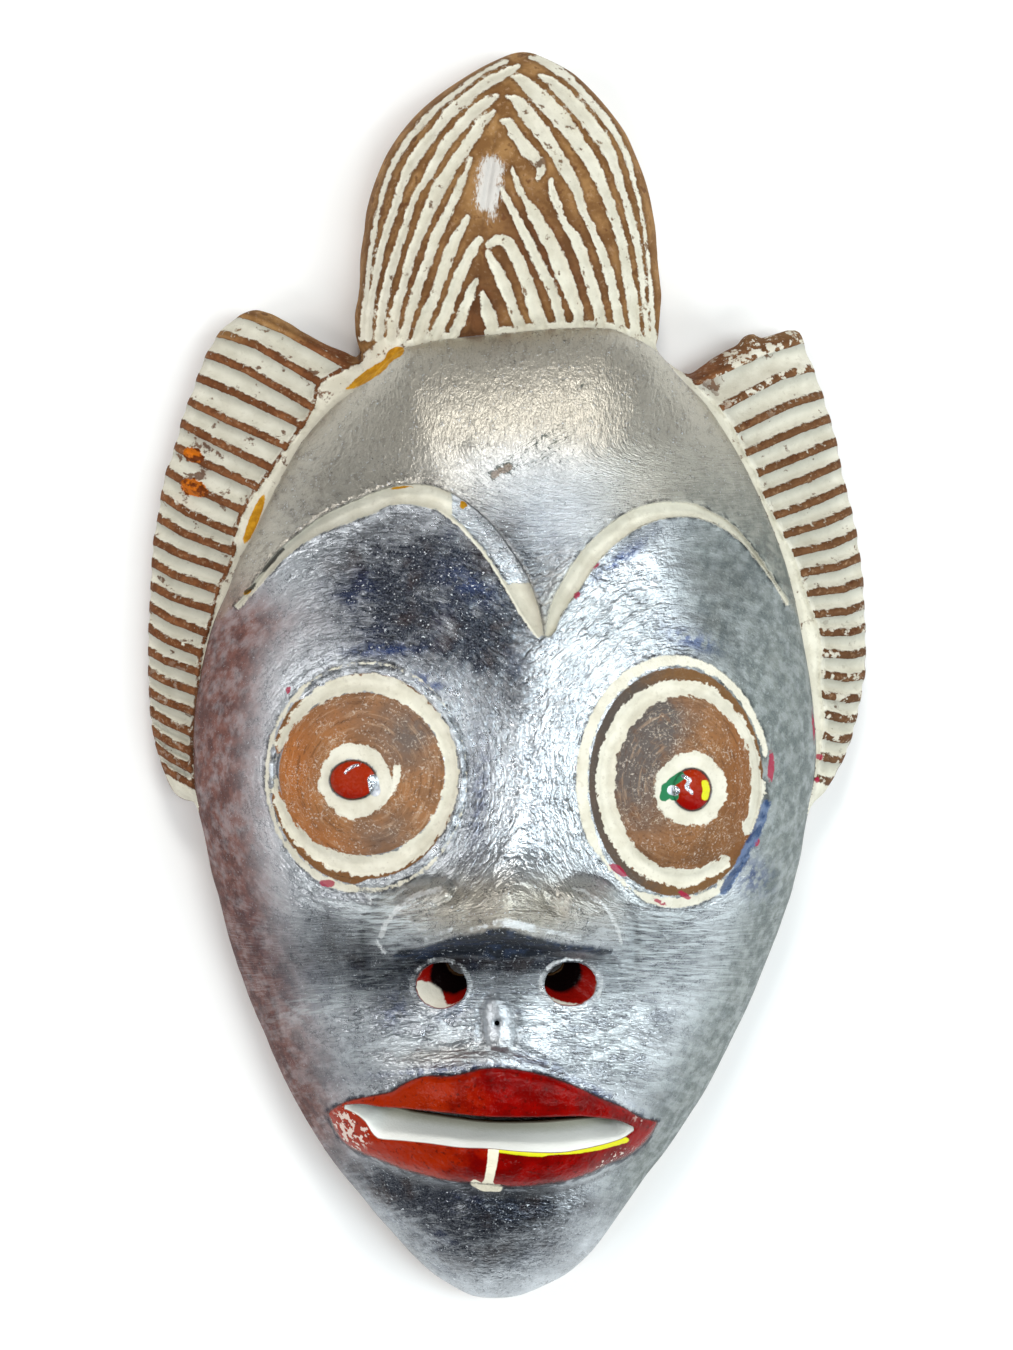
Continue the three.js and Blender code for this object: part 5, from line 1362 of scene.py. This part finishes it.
Lm = painted("lip", 0.8, 0.0, m("MULTIPLY", wob, 0.35))
backm = attr("back")
# painted shade on the brown beside the white grooves
ridge = mixc(m("MULTIPLY", ramp(attr("white"), -4.5, -0.6), 0.50), ridge, rgb(78, 48, 28))
ridge = mixc(m("MULTIPLY", attr("umber"), 0.85), ridge, mixc(ramp(patch2, 0.38, 0.62), rgb(74, 44, 26), rgb(92, 54, 32)))
# painted shade in the hollows of the brown
ridge = mixc(m("MULTIPLY", ramp(hollow, 0.1, 0.7), 0.5), ridge, rgb(66, 38, 22))
col = mixc(backm, ridge, wood)
metalness = m("MULTIPLY", Sm, 1.0)
col = mixc(Sm, col, metal)
col = mixc(Dm, col, discc)
metalness = m("MULTIPLY", metalness, m("SUBTRACT", 1.0, Dm))
# brown shows through the white where it is worn
worn = m("MULTIPLY", ramp(m("ADD", n260, m("MULTIPLY", attr("wear"), 0.20)), 0.62, 0.70), 0.88)
Wm = m("MULTIPLY", Wm, m("SUBTRACT", 1.0, m("MULTIPLY", worn, m("SUBTRACT", 1.0, Sm))))
rubm = m("MULTIPLY", ramp(m("ADD", m("MULTIPLY", m("ADD", n260, edge), 0.5), m("MULTIPLY", attr("rub"), 0.14)), 0.555, 0.60), m("MULTIPLY", ramp(attr("rub"), 0.1, 0.3), 0.9))
Wm = m("MAXIMUM", Wm, m("MULTIPLY", rubm, m("SUBTRACT", 1.0, Sm)))
col = mixc(Wm, col, kao)
metalness = m("MULTIPLY", metalness, m("SUBTRACT", 1.0, Wm))
Vm = ramp(m("ADD", attr("smear"), m("ADD", m("MULTIPLY", m("SUBTRACT", grain2, 0.5), 26.0), m("MULTIPLY", ragged, 0.9))), -1.5, 5.0)
col = mixc(m("MULTIPLY", Vm, 0.9), col, rgb(206, 204, 200))
metalness = m("MAXIMUM", metalness, m("MULTIPLY", Vm, 0.35))
# ochre at the temples, orange chips on the flange
oc = mixc(ramp(n260, 0.4, 0.65), rgb(204, 150, 36), rgb(170, 118, 24))
om = ramp(m("ADD", attr("ochre"), m("MULTIPLY", softw, 0.10)), 0.42, 0.52)
col = mixc(om, col, oc)
rm = ramp(m("ADD", attr("orange"), m("MULTIPLY", wob, 0.09)), 0.40, 0.50)
col = mixc(rm, col, mixc(ramp(edge, 0.42, 0.60), rgb(196, 104, 22), rgb(96, 44, 12)))
# lips: thick gloss paint, orange toward the left, nicked
red = mixc(ramp(patch2, 0.35, 0.65), rgb(134, 3, 0), rgb(104, 1, 0))
leftred = ramp(m("ADD", dx.outputs[0], m("MULTIPLY", m("SUBTRACT", patch2, 0.5), 0.03)), -0.004, -0.022)
red = mixc(m("MULTIPLY", leftred, 0.8), red, rgb(158, 40, 2))
red = mixc(m("MULTIPLY", ramp(n700, 0.58, 0.66), 0.7), red, rgb(74, 6, 3))
# painted shade in the hollows of the lips
red = mixc(m("MULTIPLY", ramp(hollow, 0.0, 0.5), 0.5), red, rgb(60, 4, 2))
chips = m("MULTIPLY", ramp(m("ADD", edge, m("MULTIPLY", attr("chipped"), 0.06)), 0.580, 0.600), ramp(attr("chipped"), 0.35, 0.70))
red = mixc(m("MULTIPLY", chips, 0.9), red, rgb(226, 208, 196))
col = mixc(Lm, col, red)
metalness = m("MULTIPLY", metalness, m("SUBTRACT", 1.0, Lm))
# beads of the pupils: red, painted lighter and more orange toward the top as a highlight, with painted shade in a dark
# ring round their foot
Bm = painted("bead", 0.6, 0.0, m("MULTIPLY", wob, 0.12))
bead_c = mixc(ramp(dx.outputs[1], -0.0345, -0.0275), rgb(136, 6, 2), rgb(150, 38, 8))
col = mixc(m("MULTIPLY", ramp(attr("bead"), -2.6, -0.6), 0.75), col, rgb(60, 34, 20))
col = mixc(Bm, col, bead_c)
metalness = m("MULTIPLY", metalness, m("SUBTRACT", 1.0, Bm))
Ym = painted("yellow", 0.5, 0.0, m("MULTIPLY", wob, 0.2))
col = mixc(Ym, col, rgb(214, 212, 36))
Fm = painted("leaf", 0.5, 0.0, m("MULTIPLY", wob, 0.15))
col = mixc(Fm, col, rgb(42, 118, 78))
Tm = painted("stroke", 0.5, 0.0, m("MULTIPLY", wob, 0.18))
col = mixc(Tm, col, rgb(232, 226, 204))
cm = ramp(m("ADD", attr("crimson"), m("MULTIPLY", wob, 0.08)), 0.45, 0.60)
col = mixc(m("MULTIPLY", cm, 0.85), col, rgb(158, 24, 62))
bs = ramp(m("ADD", attr("bluestroke"), m("MULTIPLY", wob, 0.20)), 0.40, 0.80)
col = mixc(m("MULTIPLY", bs, 0.88), col, mixc(ramp(dents, 0.42, 0.60), rgb(38, 66, 108), rgb(96, 116, 150)))
# silver facets and painted glints on the pupils
Gm = painted("silver_facet_and_glint", 0.5, 0.0, m("MULTIPLY", wob, 0.12))
col = mixc(Gm, col, rgb(190, 196, 204))
metalness = m("MAXIMUM", m("MULTIPLY", metalness, m("SUBTRACT", 1.0, m("MAXIMUM", Ym, m("MAXIMUM", Tm, cm)))), m("MULTIPLY", Gm, 0.9))
# painted shade lines and cracks
Km = m("MULTIPLY", ramp(m("ADD", attr("crack_and_shade_line"), m("MULTIPLY", softw, 0.9)), -0.4, 0.9), 0.85)
col = mixc(Km, col, rgb(38, 34, 34))
Am = ramp(m("ADD", m("SUBTRACT", attr("scrape"), 0.8), m("ADD", m("MULTIPLY", ragged, 1.6), m("MULTIPLY", m("SUBTRACT", streak, 0.5), 16.0))), -0.5, 1.5)
col = mixc(m("MULTIPLY", Am, 0.8), col, mixc(ramp(attr("scrape"), 1.0, 3.5), rgb(52, 62, 58), rgb(106, 92, 78)))
# nail hole painted black as shade
col = mixc(ramp(attr("nail_hole_shade"), -0.4, 0.4), col, rgb(12, 12, 12))
# nostril and slot walls, with painted shade that deepens into them; the deep part of each nostril wall is painted
# black as shade
dep = attr("depth")
nm = attr("nostril")
ncol = mixc(ramp(m("ADD", attr("crescent"), m("MULTIPLY", softw, 0.04)), -0.03, 0.03), rgb(128, 12, 6), rgb(205, 200, 186))
# painted shade: black deep in the nostril
ncol = mixc(ramp(m("ADD", m("SUBTRACT", dep, m("MULTIPLY", m("MAXIMUM", attr("crescent"), 0.0), 0.6)), m("MULTIPLY", softw, 0.03)), 0.36, 0.50), ncol, rgb(10, 4, 4))
col = mixc(nm, col, ncol)
sw = attr("slotwall")
# painted shade: the slot's white lower wall greys and its upper wall darkens with depth
lower_wall_with_shade = mixc(ramp(m("ADD", dep, m("MULTIPLY", softw, 0.03)), 0.50, 0.86), rgb(252, 253, 248), rgb(206, 205, 188))
upper_wall_shade = mixc(ramp(dep, 0.02, 0.30), rgb(104, 100, 84), rgb(66, 62, 50))
scol = mixc(attr("lowside"), upper_wall_shade, lower_wall_with_shade)
col = mixc(sw, col, scol)
notmetal = m("MAXIMUM", m("MAXIMUM", nm, sw), m("MAXIMUM", backm, m("MAXIMUM", om, rm)))
metalness = m("MULTIPLY", metalness, m("SUBTRACT", 1.0, notmetal), clamp=True)
metalness = m("MULTIPLY", metalness, m("SUBTRACT", 0.93, m("ADD", m("MULTIPLY", dull, 0.38), m("MAXIMUM", m("MULTIPLY", mauve_refl, 0.50), m("MAXIMUM", m("MULTIPLY", frosty_highlight, 0.30), m("MULTIPLY", under_nose_shade, 0.6))))), clamp=True)

bsdf = node("ShaderNodeBsdfPrincipled")
put(bsdf.inputs["Base Color"], col)
put(bsdf.inputs["Metallic"], metalness)
bsdf.inputs["Specular IOR Level"].default_value = 0.09
r_metal = m("ADD", m("MULTIPLY", streak, 0.18), m("ADD", 0.17, m("MULTIPLY", calm_, 0.06)))
r_metal = m("ADD", r_metal, m("ADD", m("MULTIPLY", dull, 0.20), m("MULTIPLY", beige_refl, 0.08)))
r_dull = m("ADD", m("MULTIPLY", fine, 0.25), 0.55)
rough_ = m("ADD", m("MULTIPLY", metalness, m("SUBTRACT", r_metal, r_dull)), r_dull)
gloss = m("MAXIMUM", m("MAXIMUM", Lm, Bm), m("MAXIMUM", nm, rm))
rough_ = m("ADD", m("MULTIPLY", gloss, m("SUBTRACT", m("ADD", m("MULTIPLY", edge, 0.12), 0.07), rough_)), rough_)
put(bsdf.inputs["Roughness"], rough_)
# relief of paint and tools
white_h = ramp(m("ADD", attr("white"), m("MULTIPLY", wob, 0.72)), -0.8, 0.8)
rel = m("MULTIPLY", m("MULTIPLY", Sm, m("SUBTRACT", 1.0, m("MAXIMUM", m("MAXIMUM", Dm, white_h), m("MAXIMUM", Lm, Bm)))), m("SUBTRACT", 0.93, m("MULTIPLY", m("MAXIMUM", attr("mauve_tint_and_reflection"), attr("greygreen_tint_and_reflection")), 0.62)))
still = m("SUBTRACT", 1.0, m("MULTIPLY", calm_, 0.62))
h = m("MULTIPLY", m("SUBTRACT", streak, 0.5), m("MULTIPLY", m("MULTIPLY", rel, still), m("ADD", 0.55, m("MULTIPLY", rump, 0.45))))
h = m("ADD", h, m("MULTIPLY", ramp(fold, 0.0, 0.10), m("MULTIPLY", m("MULTIPLY", rel, rump), 0.42)))
h = m("ADD", h, m("MULTIPLY", m("SUBTRACT", brushed, 0.5), m("MULTIPLY", rel, 0.22)))
h = m("ADD", h, m("MULTIPLY", m("SUBTRACT", dents, 0.5), m("MULTIPLY", m("MULTIPLY", rel, still), 0.55)))
h = m("ADD", h, m("MULTIPLY", white_h, 0.10))
h = m("ADD", h, m("MULTIPLY", m("SUBTRACT", fine, 0.5), 0.10))
h = m("ADD", h, m("MULTIPLY", m("SUBTRACT", edge, 0.5), m("ADD", m("MULTIPLY", gloss, 0.22), 0.10)))
h = m("ADD", h, m("MULTIPLY", m("MULTIPLY", m("SUBTRACT", dents, 0.5), Bm), 1.1))
h = m("ADD", h, m("MULTIPLY", backm, m("MULTIPLY", dents, 0.5)))
bump = node("ShaderNodeBump")
bump.inputs["Strength"].default_value = 1.0
bump.inputs["Distance"].default_value = 0.0010
put(bump.inputs["Height"], h)
put(bsdf.inputs["Normal"], bump.outputs[0])
outn = node("ShaderNodeOutputMaterial")
nt.links.new(bsdf.outputs[0], outn.inputs[0])
me.materials.append(mat)

# ------------------------------------------------------------------ stage
bpy.ops.mesh.primitive_plane_add(size=8, location=(0, 0, -0.0004))
floor = bpy.context.object
floor.name = "floor"
fm = bpy.data.materials.new("floor")
fm.use_nodes = True
fb = fm.node_tree.nodes["Principled BSDF"]
fb.inputs["Base Color"].default_value = (0.93, 0.93, 0.93, 1)
fb.inputs["Roughness"].default_value = 0.9
floor.data.materials.append(fm)


def area_light(name, loc, target, size, power, color=(1, 1, 1), size_y=None):
    L = bpy.data.lights.new(name, "AREA")
    L.energy = power
    L.color = color
    L.size = size
    if size_y:
        L.shape = "RECTANGLE"
        L.size_y = size_y
    o = bpy.data.objects.new(name, L)
    bpy.context.scene.collection.objects.link(o)
    o.location = loc
    o.rotation_euler = (Vector(target) - Vector(loc)).to_track_quat("-Z", "Y").to_euler()
    return o


area_light("over", (0.50, 0.02, 1.25), (0, 0.0, 0.03), 0.38, 9.6, (0.90, 0.98, 1.0), 0.9)
area_light("key", (-0.02, 1.22, 1.3), (0, 0.05, 0.03), 0.4, 10.6, (1, 0.975, 0.93), 0.3)
area_light("right", (1.3, -0.38, 0.54), (0, 0.0, 0.03), 0.6, 5.4, (0.94, 1.0, 1.0), 0.42)
area_light("left", (-1.2, -0.7, 1.0), (0, 0.0, 0.03), 0.6, 6.4, (1.0, 0.97, 0.95), 0.5)
area_light("left high", (-1.0, 0.17, 0.95), (0, 0.0, 0.03), 0.4, 3.8, (1.0, 0.98, 0.95), 0.3)
area_light("low right", (0.95, -0.60, 1.0), (0, 0.0, 0.03), 0.3, 3.0, (0.95, 1.0, 1.0), 0.3)
area_light("low", (0.05, -0.85, 1.2), (0, 0.0, 0.03), 0.35, 2.6, (0.95, 1.0, 1.0), 0.2)

for k, (x_, y_, z_, p_) in enumerate(((-0.55, -0.25, 1.3, 0.7), (1.0, 0.5, 0.9, 1.0))):
    area_light("spark%d" % k, (x_, y_, z_), (0, 0, 0.04), 0.05, p_, (1, 1, 1), 0.05)

world = bpy.data.worlds.new("studio") if not bpy.context.scene.world else bpy.context.scene.world
bpy.context.scene.world = world
world.use_nodes = True
bg = world.node_tree.nodes.get("Background") or world.node_tree.nodes.new("ShaderNodeBackground")
bg.inputs["Color"].default_value = (0.94, 0.97, 1.0, 1)
bg.inputs["Strength"].default_value = 0.14

cam = bpy.data.cameras.new("camera")
cam.sensor_fit = "VERTICAL"
cam.sensor_height = 36
cam.sensor_width = 36
half = 0.5 * 1350 * K / SIGHT
cam.lens = 18 / half
co_ = bpy.data.objects.new("camera", cam)
bpy.context.scene.collection.objects.link(co_)
co_.location = (SHIFT[0] * 0.001, SHIFT[1] * 0.001, SIGHT * 0.001)
co_.rotation_euler = (0, 0, 0)
bpy.context.scene.camera = co_
bpy.context.scene.view_settings.view_transform = "Standard"
bpy.context.scene.cycles.max_bounces = 4
bpy.context.scene.cycles.diffuse_bounces = 2
